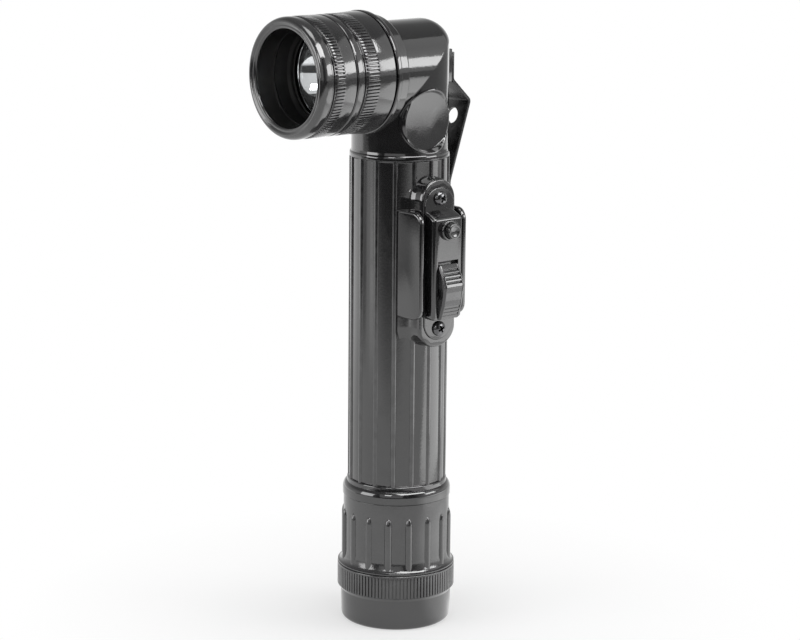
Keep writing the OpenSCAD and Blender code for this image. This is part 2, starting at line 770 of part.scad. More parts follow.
module button_spring() {
    seat = tunnel_x0 + tunnel_t;
    color(steel) translate([seat, 0, button_z]) rotate([0, 90, 0])
        spring(1.7, button_flange_x0 - seat, 0.14, 3);
}

// Spring-steel strip, folded in one plane, with a hanging hole in its blade
module clip() {
    line = bent(clip_points, clip_bends);
    left = side_of(line, clip_t / 2);
    right = side_of(line, -clip_t / 2);
    color([0.07, 0.07, 0.08]) difference() {
        intersection() {
            plate_x(-clip_w / 2, clip_w / 2)
                polygon(concat(left, [for (i = [len(right) - 1 : -1 : 0]) right[i]]));
            rotate([90, 0, 0]) linear_extrude(4 * clip_out_y, center = true) polygon([
                [-clip_w / 2 - 1, clip_top_z + 1], [-clip_w / 2 - 1, clip_out_z], [-clip_w / 2, clip_out_z],
                [-clip_tip_w / 2, clip_tip_z - 1], [clip_tip_w / 2, clip_tip_z - 1], [clip_w / 2, clip_out_z],
                [clip_w / 2 + 1, clip_out_z], [clip_w / 2 + 1, clip_top_z + 1]]);
        }
        translate([0, hole_at[0], hole_at[1]]) rotate([90 - hole_tilt, 0, 0])
            cylinder(r = clip_hole_r, h = 4, center = true);
        for (x = [-rivet_x, rivet_x])
            translate([x, clip_pad_y, rivet_z]) rotate([-90, 0, 0])
                cylinder(r = rivet_r + 0.05, h = 6, center = true);
    }
}

module clip_rivets() {
    seat = clip_pad_y + clip_t;
    color(steel)
        for (x = [-rivet_x, rivet_x])
            translate([x, 0, rivet_z]) rotate([-90, 0, 0]) union() {
                tube(rivet_r, 0, clip_pad_y - rivet_deep, seat + eps);
                rotate_extrude() polygon([[0, seat], [rivet_head_r, seat], [rivet_head_r, seat + 0.2],
                    [rivet_head_r - 0.5, seat + rivet_head_h], [0, seat + rivet_head_h]]);
            }
}

// Turned dish on a parabola, with a rim on the case and a sleeve for the bulb
module reflector() {
    steps = 12;
    dish = [for (i = [0 : steps]) let (r = hole_r + (mirror_r - hole_r) * i / steps)
        [r, mirror_t0 + mirror_k * r * r]];
    shell = [for (i = [0 : steps]) dish[steps - i] + [reflector_t, -0.35]];
    color(steel) along_head() rotate_extrude() polygon(concat(
        [[hole_r, bulb_flange_t + bulb_flange_h]], dish,
        [[mirror_r, lens_t0], [lens_r, lens_t0], [lens_r, head_spigot_t1],
            [mirror_r + reflector_t, head_spigot_t1]],
        [for (i = [1 : steps - 1]) shell[i]],
        [[neck_outer, hole_t - 0.3], [neck_outer, bulb_flange_t + bulb_flange_h]]));
}

module bulb_base() {
    color(brass) along_head() rotate_extrude() polygon([
        [0, bulb_tip_t], [1.2, bulb_tip_t], [1.5, bulb_tip_t + 0.8], [2.6, bulb_tip_t + 1.2],
        [bulb_shell_r, bulb_tip_t + 2.4], [bulb_shell_r, bulb_flange_t], [bulb_flange_r, bulb_flange_t],
        [bulb_flange_r, bulb_flange_t + bulb_flange_h], [0, bulb_flange_t + bulb_flange_h]]);
}

module bulb_glass() {
    low = bulb_flange_t + bulb_flange_h;
    color([0.85, 0.9, 0.95, 0.4]) along_head() rotate_extrude() polygon(concat(
        [[glass_r - 0.4, low], [glass_r, low]],
        arc(0, low + glass_len - glass_r, glass_r, 0, 90),
        arc(0, low + glass_len - glass_r, glass_r - 0.4, 90, 0)));
}

// Glass bead, two posts and a filament between them
module bulb_filament() {
    low = bulb_flange_t + bulb_flange_h;
    high = mirror_t0 + 1 / (4 * mirror_k) + 0.6;
    color(steel) along_head() union() {
        tube(1.6, 0, low, low + 1.6);
        for (x = [-1, 1])
            translate([x, 0, 0]) tube(0.18, 0, low + 1, high, $fn = 16);
        translate([0, 0, high]) rotate([0, 90, 0]) cylinder(r = 0.22, h = 2.3, center = true, $fn = 16);
    }
}

// Brass ring that holds the bulb's flange against the reflector's sleeve
module bulb_retainer() {
    low = bulb_flange_t - retainer_back;
    high = bulb_flange_t + retainer_front;
    color(brass) along_head() difference() {
        tube(strip_x - retainer_gap, bulb_shell_r + bulb_room, low, high);
        translate([0, 0, bulb_flange_t])
            cylinder(r = max(neck_outer, bulb_flange_r) + thread_gap, h = high);
    }
}

module head_gasket() {
    color(rubber_black) along_head()
        tube(ring_r - groove_deep, ring_bore_r, flange_t1, flange_t1 + head_seal_t);
}

module lens() {
    color([0.8, 0.85, 0.9, 0.5]) along_head() tube(lens_r, 0, lens_t0, lens_t1);
}

module lens_gasket() {
    color(rubber_black) along_head() tube(lens_r, lip_r + 0.4, lens_t1, lens_t1 + lens_seal_t);
}

// Knurled ring that screws on the case and holds the lens
module lens_ring() {
    teeth_t1 = lens_ring_t1 - ring_nose;
    teeth_t0 = teeth_t1 - lens_knurl_len;
    seat = lens_t1 + lens_seal_t;
    color(knob_black) along_head() difference() {
        union() {
            rotate_extrude() polygon([
                [0, lens_ring_t0], [ring_flare_r - ring_edge, lens_ring_t0],
                [ring_flare_r, lens_ring_t0 + ring_edge], [ring_r, teeth_t0 - ring_edge],
                [ring_r - land_deep, teeth_t0], [ring_r - land_deep, teeth_t1 + 0.1],
                [ring_r - groove_deep, teeth_t1 + 0.2], [ring_r - groove_deep, teeth_t1 + 0.2 + groove_w],
                [ring_r, lens_ring_t1 - nose_slope], [ring_r - ring_edge, lens_ring_t1], [0, lens_ring_t1]]);
            knurl(ring_r, teeth_t0 - 0.1, teeth_t1);
            tube(filter_spigot_r, 0, lens_ring_t1 - 1, lens_ring_t1 + filter_spigot_len);
        }
        translate([0, 0, lens_ring_t0 - 1]) cylinder(r = ring_bore_r, h = seat - lens_ring_t0 + 1);
        translate([0, 0, lens_ring_t0]) cylinder(r = lip_r, h = lens_ring_len + filter_spigot_len + 1);
        translate([0, 0, lens_ring_t1]) cylinder(r = filter_spigot_bore, h = filter_spigot_len + 1);
    }
}

module filter_gasket() {
    seat = lens_ring_t1 + filter_spigot_len;
    color(rubber_black) along_head()
        tube(filter_spigot_r - 0.05, front_r, seat + part_gap / 2, seat + part_gap / 2 + seal_t);
}

// Knurled front ring that screws on the lens ring and holds a filter
module filter_ring() {
    teeth_t0 = filter_ring_t0 + filter_band;
    teeth_t1 = teeth_t0 + filter_knurl_len;
    thread_len = filter_bore_t1 - filter_ring_t0;
    lip_h = 0.6;
    lip_out = 0.8;
    color(knob_black) along_head() difference() {
        union() {
            rotate_extrude() polygon(concat(
                [[0, filter_ring_t0], [ring_r - ring_edge, filter_ring_t0],
                    [ring_r, filter_ring_t0 + ring_edge],
                    [ring_r, teeth_t0 - ring_edge], [ring_r - land_deep, teeth_t0],
                    [ring_r - land_deep, teeth_t1 + 0.1], [ring_r - groove_deep, teeth_t1 + 0.2],
                    [ring_r - groove_deep, teeth_t1 + 0.2 + groove_w], [ring_r, teeth_t1 + groove_w + 0.6]],
                arc(ring_r - bead_r, filter_ring_t1 - bead_r, bead_r, 0, 90),
                [[0, filter_ring_t1]]));
            knurl(ring_r, teeth_t0 - 0.1, teeth_t1);
        }
        translate([0, 0, filter_ring_t0 - 1]) cylinder(r = filter_bore_r, h = thread_len + 1);
        translate([0, 0, filter_ring_t0]) cylinder(r = front_r, h = filter_ring_len + 1);
        translate([0, 0, filter_ring_t1 - lip_h])
            cylinder(r1 = front_r, r2 = front_r + lip_out, h = lip_h + eps);
    }
}

module tail_gasket() {
    color(rubber_black) tube(tail_bore_r + 0.75, tail_spigot_r + 0.02, seam_z - seal_t - 0.2, seam_z);
}

module tail_spring() {
    color(steel) translate([0, 0, spring_z]) spring(spring_r, spring_h, spring_wire, spring_turns);
}

// Brass cup that joins the spring to the strip in the case
module tail_contact() {
    color(brass) difference() {
        tube(cap_bore_r - 0.1, 0, cup_z, spigot_z - strip_t - part_gap / 2);
        translate([0, 0, spring_z]) cylinder(r = cap_bore_r - 0.5, h = spigot_z);
    }
}

// Ribbed cap that screws on the barrel, with the foot cap's thread below
module tail_cap() {
    low = foot_top + part_gap;
    color(knob_black) difference() {
        union() {
            tube(foot_spigot_r, 0, cap_under_z, low + eps);
            rotate_extrude() polygon(concat(
                [[0, low], [flare_r - 0.2, low], [flare_r, low + 0.2]],
                [for (i = [0 : 6]) let (a = 90 * i / 6)
                    [flare_r - (flare_r - cap_r) * sin(a), low + flare_h - (flare_h - 0.4) * cos(a)]],
                [[cap_r, seam_z - part_gap - 0.2], [cap_r - 0.2, seam_z - part_gap], [0, seam_z - part_gap]]));
            for (i = [0 : rib_count - 1])
                rotate([0, 0, i * 360 / rib_count + cap_rib_turn])
                    translate([cap_r + cap_rib_out - cap_rib_half, 0, 0]) {
                        translate([0, 0, low + 0.8])
                            cylinder(r = cap_rib_half, h = cap_rib_top - cap_rib_half - low - 0.8, $fn = 24);
                        translate([0, 0, cap_rib_top - cap_rib_half]) sphere(r = cap_rib_half, $fn = 24);
                    }
        }
        translate([0, 0, cup_z]) cylinder(r = cap_bore_r, h = cap_h + foot_top);
        translate([0, 0, spigot_z - 1]) cylinder(r = tail_bore_r, h = cap_h);
        translate([0, 0, seam_z - seal_t - 0.3]) cylinder(r = tail_bore_r + 0.8, h = 5);
    }
}

module foot_gasket() {
    low = foot_top + part_gap - seal_t;
    color(rubber_black) tube(foot_spigot_r + 0.8, foot_spigot_r + 0.02, low, foot_top + part_gap);
}

// A spare filter on the foot cap's floor
module spare_filter(place, tint) {
    color(tint) tube(filter_r, 0, foot_floor + place * filter_t, foot_floor + (place + 1) * filter_t);
}

module red_filter() { spare_filter(0, [0.7, 0.05, 0.05]); }

module blue_filter() { spare_filter(1, [0.1, 0.2, 0.7]); }

module frosted_filter() { spare_filter(2, [0.9, 0.9, 0.88]); }

// Knurled cap under the tail cap, which the flashlight stands on
module foot_cap() {
    color(knob_black) difference() {
        union() {
            rotate_extrude() polygon(concat(
                [[0, 0]], arc(foot_r - foot_edge, foot_edge, foot_edge, -90, 0),
                [[foot_r, foot_h - 0.2], [knurl_r - land_deep, foot_h + 0.6],
                    [knurl_r - land_deep, foot_top], [0, foot_top]]));
            knurl(knurl_r, foot_h + 0.5, foot_top - 0.2);
        }
        translate([0, 0, foot_floor]) cylinder(r = filter_r + 0.1, h = foot_top);
        translate([0, 0, cap_under_z - 0.4]) cylinder(r = foot_bore_r, h = foot_top);
        translate([0, 0, foot_top + part_gap - seal_t - 0.1]) cylinder(r = foot_spigot_r + 0.85, h = 5);
    }
}

case();
lower_cell();
upper_cell();
lamp_contact();
return_strip();
tail_strip();
switch_board();
contact_studs();
switch_gasket();
switch_cover();
switch_screws();
button_bush();
slide_switch();
slide_contact();
signal_button();
button_contact();
button_spring();
clip();
clip_rivets();
reflector();
bulb_base();
bulb_glass();
bulb_filament();
bulb_retainer();
head_gasket();
lens();
lens_gasket();
lens_ring();
filter_gasket();
filter_ring();
tail_gasket();
tail_spring();
tail_contact();
tail_cap();
foot_gasket();
red_filter();
blue_filter();
frosted_filter();
foot_cap();
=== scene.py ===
"""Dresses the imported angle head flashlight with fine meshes, finishes, a studio and a camera."""

import logging
import math
from dataclasses import dataclass, field
from enum import Enum
from typing import Callable, Optional, Sequence

import bmesh
import bpy
from mathutils import Matrix, Vector

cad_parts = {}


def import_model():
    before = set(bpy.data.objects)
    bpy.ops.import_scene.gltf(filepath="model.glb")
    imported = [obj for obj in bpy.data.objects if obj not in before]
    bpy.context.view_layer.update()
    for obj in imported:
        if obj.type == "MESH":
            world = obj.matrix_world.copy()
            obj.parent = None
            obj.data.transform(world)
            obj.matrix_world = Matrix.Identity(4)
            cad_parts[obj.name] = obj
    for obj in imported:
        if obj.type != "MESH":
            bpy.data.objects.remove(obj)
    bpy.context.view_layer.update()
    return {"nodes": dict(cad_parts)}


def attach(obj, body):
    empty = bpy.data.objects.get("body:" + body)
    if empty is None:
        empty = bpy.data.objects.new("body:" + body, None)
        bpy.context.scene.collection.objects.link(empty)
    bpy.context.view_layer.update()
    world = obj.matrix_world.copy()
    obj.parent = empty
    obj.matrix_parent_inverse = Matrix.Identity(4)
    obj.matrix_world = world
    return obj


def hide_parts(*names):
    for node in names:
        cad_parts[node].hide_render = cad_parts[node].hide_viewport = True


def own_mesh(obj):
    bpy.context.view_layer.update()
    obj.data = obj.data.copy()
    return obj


LOG = logging.getLogger("flashlight")

# Shapes are made in millimetres, and a finished piece is in metres.
MM = 0.001
# Height of the head's axis, and the rise of every screw thread in one turn.
HEAD_Z = 142.9
LEAD = 2.0
# Parts of a full turn on the large round pieces and on the smaller ones.
FINE = 192
PLAIN = 96
# Edges that turn more than this many degrees stay sharp.
SHARP = 35.0
# Points closer than this are one.
MERGE = 0.0005

Corner = Sequence[float]
Point = tuple[float, float]
Place = tuple[float, float, float]
Colour = tuple[float, float, float]
Socket = bpy.types.NodeSocket


class Stand(Enum):
    """Which way a shape that was built upright is turned."""

    HEAD = "head"
    SWITCH = "switch"
    BACK = "back"
    SIDE_PLATE = "side plate"
    FRONT_PLATE = "front plate"

    def matrix(self, at: Sequence[float] = (0.0, 0.0, 0.0)) -> Matrix:
        """Gives the turn and place of this stand.

        Args:
            at: Where the upright shape's origin goes, in millimetres.

        Returns:
            The matrix from the upright shape to the flashlight.
        """
        turns = {
            Stand.HEAD: Matrix.Translation((0, 0, HEAD_Z)) @ Matrix.Rotation(math.pi / 2, 4, "X"),
            Stand.SWITCH: Matrix.Rotation(math.pi / 2, 4, "Y"),
            Stand.BACK: Matrix.Rotation(-math.pi / 2, 4, "X"),
            Stand.SIDE_PLATE: Matrix(((0, 0, 1, 0), (1, 0, 0, 0), (0, 1, 0, 0), (0, 0, 0, 1))),
            Stand.FRONT_PLATE: Matrix.Rotation(math.pi / 2, 4, "X"),
        }
        return Matrix.Translation(at) @ turns[self]


class Stage(Enum):
    """The parts of the elbow's sweep, in order."""

    RISE = "rise"
    TURN = "turn"
    RUN = "run"


def rounded(corners: Sequence[Corner], closed: bool, steps: int = 5) -> list[Point]:
    """Turns a line with fillet sizes into plain points.

    Args:
        corners: Points, each with an optional third number, its fillet's radius.
        closed: Whether the last point joins the first.
        steps: Parts of each fillet.

    Returns:
        The points of the line with its fillets.
    """
    points: list[Point] = []
    count = len(corners)
    for place, corner in enumerate(corners):
        here = Vector(corner[:2])
        size = corner[2] if len(corner) > 2 else 0.0
        if size <= 0 or not (closed or 0 < place < count - 1):
            points.append((here.x, here.y))
            continue
        back = Vector(corners[place - 1][:2]) - here
        ahead = Vector(corners[(place + 1) % count][:2]) - here
        half = back.angle(ahead) / 2
        run = min(size / math.tan(half), 0.49 * back.length, 0.49 * ahead.length)
        radius = run * math.tan(half)
        middle = here + (back.normalized() + ahead.normalized()).normalized() * radius / math.sin(half)
        first = here + back.normalized() * run - middle
        last = here + ahead.normalized() * run - middle
        start = math.atan2(first.y, first.x)
        sweep = (math.atan2(last.y, last.x) - start + math.pi) % (2 * math.pi) - math.pi
        for step in range(steps + 1):
            angle = start + sweep * step / steps
            points.append((middle.x + radius * math.cos(angle), middle.y + radius * math.sin(angle)))
    return points


def arc(centre: Point, radius: float, start: float, end: float, steps: int = 10) -> list[Point]:
    """Gives points on an arc.

    Args:
        centre: The arc's middle.
        radius: Its radius.
        start: Its first angle, in degrees.
        end: Its last angle, in degrees.
        steps: Its parts.

    Returns:
        The points, from start to end.
    """
    turns = [math.radians(start + (end - start) * i / steps) for i in range(steps + 1)]
    return [(centre[0] + radius * math.cos(a), centre[1] + radius * math.sin(a)) for a in turns]


def hoop(centre: Point, radius: float, steps: int) -> list[Point]:
    """Gives the points of a full circle."""
    return arc(centre, radius, 0, 360, steps)[:-1]


def bead(outer: float, top: float, wide: float, tall: float, end: float = 90.0,
         steps: int = 10) -> list[Point]:
    """Gives an elliptical round-over, from its side up to its top.

    Args:
        outer: Radius where it starts.
        top: Height of its highest point.
        wide: The ellipse's half width.
        tall: The ellipse's half height.
        end: How far it goes round, in degrees.
        steps: Its parts.

    Returns:
        Points of radius and height.
    """
    return [(outer - wide + wide * x, top - tall + tall * z) for x, z in arc((0.0, 0.0), 1.0, 0, end, steps)]


def stadium(half: float, low: float, high: float, steps: int = 28) -> list[Point]:
    """Gives a long outline with round ends.

    Args:
        half: Half its width.
        low: Its lower end.
        high: Its upper end.
        steps: Parts of each round end.

    Returns:
        The outline's points.
    """
    top = arc((0.0, high - half), half, 0, 180, steps)
    return top + [(-x, low + high - y) for x, y in top]


class Form:
    """A shape in millimetres while it is being made."""

    def __init__(self) -> None:
        """Starts an empty shape."""
        self.bm = bmesh.new()

    def lathe(self, corners: Sequence[Corner], steps: int = 128) -> "Form":
        """Turns a profile of radius and height round the upright axis.

        Args:
            corners: The profile, each point with an optional fillet. One that starts off the axis is a loop.
            steps: Parts of the full turn.

        Returns:
            This form.
        """
        closed = corners[0][0] > 0
        verts = [self.bm.verts.new((r, 0.0, h)) for r, h in rounded(corners, closed)]
        ends = verts[1:] + verts[:1] if closed else verts[1:]
        edges = [self.bm.edges.new(pair) for pair in zip(verts, ends)]
        bmesh.ops.spin(self.bm, geom=verts + edges, cent=(0, 0, 0), axis=(0, 0, 1), dvec=(0, 0, 0),
                       angle=2 * math.pi, steps=steps, use_merge=True)
        return self

    def rod(self, radius: float, low: float, high: float, steps: int, soft: float = 0.0) -> "Form":
        """Turns a plain rod, whose ends may have a fillet."""
        return self.lathe([(0, low), (radius, low, soft), (radius, high, soft), (0, high)], steps)

    def wind(self, section: Sequence[Point], rises: Sequence[Point], steps: int = 32) -> "Form":
        """Winds a closed section round the upright axis.

        Args:
            section: Points of radius and height.
            rises: Stretches of the winding, each its turns and its rise per turn.
            steps: Parts of one turn.

        Returns:
            This form.
        """
        verts = [self.bm.verts.new((r, 0.0, h)) for r, h in section]
        edges = [self.bm.edges.new(pair) for pair in zip(verts, verts[1:] + verts[:1])]
        tip: list = verts + edges
        for turns, rise in rises:
            count = max(1, round(turns * steps))
            made = bmesh.ops.spin(self.bm, geom=tip, cent=(0, 0, 0), axis=(0, 0, 1),
                                  dvec=(0, 0, rise / steps), angle=2 * math.pi * count / steps, steps=count)
            tip = made["geom_last"]
        self.close()
        return self

    def thread(self, core: float, crest: float, low: float, high: float) -> "Form":
        """Winds a screw thread's ridge on a core.

        Args:
            core: Radius that the ridge stands on.
            crest: Radius of its top.
            low: Where it starts.
            high: Where it ends.

        Returns:
            This form.
        """
        foot = 0.32 * LEAD
        top = 0.12 * LEAD
        sunk = core - 0.1
        section = [(sunk, low), (crest, low + foot - top), (crest, low + foot + top), (sunk, low + 2 * foot)]
        return self.wind(section, [((high - low - 2 * foot) / LEAD, LEAD)], 64)

    def block(self, low: Sequence[float], high: Sequence[float], bevel: float = 0.0,
              segments: int = 3) -> "Form":
        """Adds a box with soft edges.

        Args:
            low: Its lowest corner.
            high: Its highest corner.
            bevel: Radius of its edges.
            segments: Parts of each edge.

        Returns:
            This form.
        """
        size = Vector(high) - Vector(low)
        place = Matrix.Translation((Vector(high) + Vector(low)) / 2) @ Matrix.Diagonal((*size, 1.0))
        made = bmesh.ops.create_cube(self.bm, size=1.0, matrix=place)
        if bevel > 0:
            self.soften({e for v in made["verts"] for e in v.link_edges}, bevel, segments)
        return self

    def plate(self, outline: Sequence[Point], depth: float, low_bevel: float = 0.0, high_bevel: float = 0.0,
              segments: int = 3) -> "Form":
        """Adds a flat outline raised to a plate.

        Args:
            outline: Points of the outline, counter-clockwise.
            depth: Height of the plate.
            low_bevel: Radius of the edge round its lower face.
            high_bevel: Radius of the edge round its upper face.
            segments: Parts of each edge.

        Returns:
            This form.
        """
        verts = [self.bm.verts.new((x, y, 0.0)) for x, y in outline]
        face = self.bm.faces.new(verts)
        made = bmesh.ops.extrude_face_region(self.bm, geom=[face])["geom"]
        top = [g for g in made if isinstance(g, bmesh.types.BMVert)]
        bmesh.ops.translate(self.bm, vec=(0, 0, depth), verts=top)
        self.close()
        for corners, size in ((set(verts), low_bevel), (set(top), high_bevel)):
            alive = {v for v in corners if v.is_valid}
            rim = {e for v in alive for e in v.link_edges if e.verts[0] in alive and e.verts[1] in alive}
            if size > 0:
                self.soften(rim, size, segments)
        return self

    def soften(self, edges: set, size: float, segments: int) -> None:
        """Bevels some edges, by a width and in a number of parts."""
        bmesh.ops.bevel(self.bm, geom=list(edges), offset=size, offset_type="OFFSET", segments=segments,
                        profile=0.5, affect="EDGES", clamp_overlap=True, material=-1)

    def close(self) -> None:
        """Fills every open edge loop."""
        bmesh.ops.holes_fill(self.bm, edges=[e for e in self.bm.edges if e.is_boundary], sides=0)

    def repeat(self, count: int, start: float = 0.0) -> "Form":
        """Repeats everything round the upright axis.

        Args:
            count: How many there are in a full turn.
            start: Turn of the first one, in degrees.

        Returns:
            This form.
        """
        bmesh.ops.rotate(self.bm, cent=(0, 0, 0), matrix=Matrix.Rotation(math.radians(start), 3, "Z"),
                         verts=self.bm.verts[:])
        whole = self.bm.verts[:] + self.bm.edges[:] + self.bm.faces[:]
        bmesh.ops.spin(self.bm, geom=whole, cent=(0, 0, 0), axis=(0, 0, 1), dvec=(0, 0, 0),
                       angle=2 * math.pi * (count - 1) / count, steps=count - 1, use_duplicate=True)
        return self

    def move(self, matrix: Matrix) -> "Form":
        """Turns and places everything by a matrix."""
        bmesh.ops.transform(self.bm, matrix=matrix, verts=self.bm.verts[:])
        return self

    def shift(self, x: float, y: float, z: float) -> "Form":
        """Moves everything along."""
        return self.move(Matrix.Translation((x, y, z)))

    def stand(self, way: Stand, at: Sequence[float] = (0.0, 0.0, 0.0)) -> "Form":
        """Turns everything the way that it stands on the flashlight, and places it."""
        return self.move(way.matrix(at))

    def join(self, *others: "Form") -> "Form":
        """Takes other forms into this one.

        Args:
            others: The forms, which are used up.

        Returns:
            This form.
        """
        for other in others:
            mesh = bpy.data.meshes.new("joined")
            other.tidy()
            other.bm.to_mesh(mesh)
            other.bm.free()
            self.bm.from_mesh(mesh)
            bpy.data.meshes.remove(mesh)
        return self

    def tidy(self) -> None:
        """Merges doubles, drops slivers and turns the faces outwards."""
        bmesh.ops.remove_doubles(self.bm, verts=self.bm.verts[:], dist=MERGE)
        bmesh.ops.dissolve_degenerate(self.bm, edges=self.bm.edges[:], dist=MERGE)
        bmesh.ops.recalc_face_normals(self.bm, faces=self.bm.faces[:])

    def loose(self, name: str) -> bpy.types.Object:
        """Makes an object of the shape as it is, in millimetres.

        Args:
            name: The object's name.

        Returns:
            The object.
        """
        self.tidy()
        mesh = bpy.data.meshes.new(name)
        self.bm.to_mesh(mesh)
        made = bpy.data.objects.new(name, mesh)
        bpy.context.scene.collection.objects.link(made)
        return made

    def carve(self, *cutters: "Form") -> "Form":
        """Cuts other forms out of this one.

        Args:
            cutters: Closed forms, which are used up.

        Returns:
            This form.
        """
        body = self.loose("carved")
        tools = [cutter.loose("cutter") for cutter in cutters]
        for tool in tools:
            cut = body.modifiers.new("carve", "BOOLEAN")
            cut.operation = "DIFFERENCE"
            cut.solver = "EXACT"
            cut.object = tool
        bpy.context.view_layer.update()
        graph = bpy.context.evaluated_depsgraph_get()
        mesh = bpy.data.meshes.new_from_object(body.evaluated_get(graph))
        self.bm.clear()
        self.bm.from_mesh(mesh)
        for spent in [body, *tools]:
            old = spent.data
            bpy.data.objects.remove(spent)
            bpy.data.meshes.remove(old)
        bpy.data.meshes.remove(mesh)
        for cutter in cutters:
            cutter.bm.free()
        return self

    def finish(self, name: str, smooth: float = SHARP) -> bpy.types.Object:
        """Makes the finished object, in metres at the origin.

        Args:
            name: The piece's name.
            smooth: Edges that turn more than this many degrees stay sharp.

        Returns:
            The object.
        """
        made = self.loose(name)
        self.bm.free()
        made.data.transform(Matrix.Scale(MM, 4))
        made.data.shade_smooth()
        made.data.set_sharp_from_angle(angle=math.radians(smooth))
        return made


class Sheet:
    """A node tree with short calls to add and join its nodes."""

    def __init__(self, tree: bpy.types.NodeTree) -> None:
        """Takes the tree to write in."""
        self.tree = tree

    def add(self, kind: str, inputs: Optional[dict] = None, **settings: object) -> bpy.types.Node:
        """Adds a node.

        Args:
            kind: The node's type.
            inputs: Its sockets by name or number, each a value or the socket that feeds it.
            settings: Its own properties.

        Returns:
            The node.
        """
        node = self.tree.nodes.new(kind)
        for name, value in settings.items():
            setattr(node, name, value)
        for name, value in (inputs or {}).items():
            self.feed(node.inputs[name], value)
        return node

    def feed(self, socket: Socket, value: object) -> None:
        """Sets a socket, or joins it to the socket that feeds it.

        Args:
            socket: The socket to set.
            value: A value, or the socket that gives it.
        """
        if isinstance(value, bpy.types.NodeSocket):
            self.tree.links.new(value, socket)
        else:
            socket.default_value = value

    def effect(self, tree: bpy.types.NodeTree, place: Socket, **values: float) -> bpy.types.Node:
        """Places a shared effect, with this finish's own values by name."""
        return self.add("ShaderNodeGroup", {"Vector": place, **values}, node_tree=tree)

    def mix(self, amount: Socket, low: object, high: object) -> Socket:
        """Mixes two colours by a mask, each a colour or the socket that gives it."""
        return self.add("ShaderNodeMix", {0: amount, 6: low, 7: high}, data_type="RGBA").outputs[2]

    def reckon(self, kind: str, first: object, second: object, clamp: bool = False) -> Socket:
        """Works out one number from two, each a value or the socket that gives it."""
        return self.add("ShaderNodeMath", {0: first, 1: second}, operation=kind, use_clamp=clamp).outputs[0]

    def times(self, first: object, second: object) -> Socket:
        """Multiplies two values."""
        return self.reckon("MULTIPLY", first, second)

    def spread(self, value: Socket, low: float, high: float, start: object = 0.0,
               end: object = 1.0) -> Socket:
        """Maps a value from one range to another, clamped.

        Args:
            value: The value's socket.
            low: Result at the start.
            high: Result at the end.
            start: Value that gives the low result.
            end: Value that gives the high result.

        Returns:
            The result's socket.
        """
        ends = {"Value": value, "From Min": start, "From Max": end, "To Min": low, "To Max": high}
        return self.add("ShaderNodeMapRange", ends).outputs["Result"]

    def noise(self, place: Socket, scale: object, detail: float, **more: float) -> Socket:
        """Gives a noise pattern's value, with any further sockets set by name."""
        inputs = {"Vector": place, "Scale": scale, "Detail": detail, **more}
        return self.add("ShaderNodeTexNoise", inputs).outputs["Fac"]

    def along(self, place: Socket, way: Sequence[float]) -> Socket:
        """Gives how far a place lies along a direction."""
        return self.add("ShaderNodeVectorMath", {0: place, 1: way}, operation="DOT_PRODUCT").outputs["Value"]

    def sector(self, place: Socket, start: float, end: float, soft: float = 3.0) -> Socket:
        """Gives a mask of the places between two directions round the upright axis.

        Args:
            place: The place's socket.
            start: First direction, in degrees.
            end: Last direction, in degrees.
            soft: Half the width of the mask's edges, in degrees.

        Returns:
            The mask's socket.
        """
        split = self.add("ShaderNodeSeparateXYZ", {"Vector": place}).outputs
        angle = self.reckon("ARCTAN2", split["Y"], split["X"])
        edge = math.radians(soft)
        low, high = math.radians(start), math.radians(end)
        return self.times(self.spread(angle, 0.0, 1.0, low - edge, low + edge),
                          self.spread(angle, 1.0, 0.0, high - edge, high + edge))

    def bump(self, main: bpy.types.Node, strength: float, distance: float, height: Socket) -> None:
        """Raises a fine pattern on a shader's surface."""
        node = self.add("ShaderNodeBump", {"Strength": strength, "Distance": distance, "Height": height})
        self.feed(main.inputs["Normal"], node.outputs["Normal"])


def group(name: str, inputs: dict[str, float], outputs: Sequence[str]) -> tuple[Sheet, dict, dict]:
    """Starts a shader node group with a vector and some numbers going in and masks coming out.

    Args:
        name: The group's name.
        inputs: Number sockets and their usual values.
        outputs: Number sockets that come out.

    Returns:
        The group's sheet, the sockets to read and the sockets to feed.
    """
    tree = bpy.data.node_groups.new(name, "ShaderNodeTree")
    tree.interface.new_socket(name="Vector", in_out="INPUT", socket_type="NodeSocketVector")
    for label, value in inputs.items():
        socket = tree.interface.new_socket(name=label, in_out="INPUT", socket_type="NodeSocketFloat")
        socket.default_value = value
    for label in outputs:
        tree.interface.new_socket(name=label, in_out="OUTPUT", socket_type="NodeSocketFloat")
    sheet = Sheet(tree)
    return sheet, sheet.add("NodeGroupInput").outputs, sheet.add("NodeGroupOutput").inputs


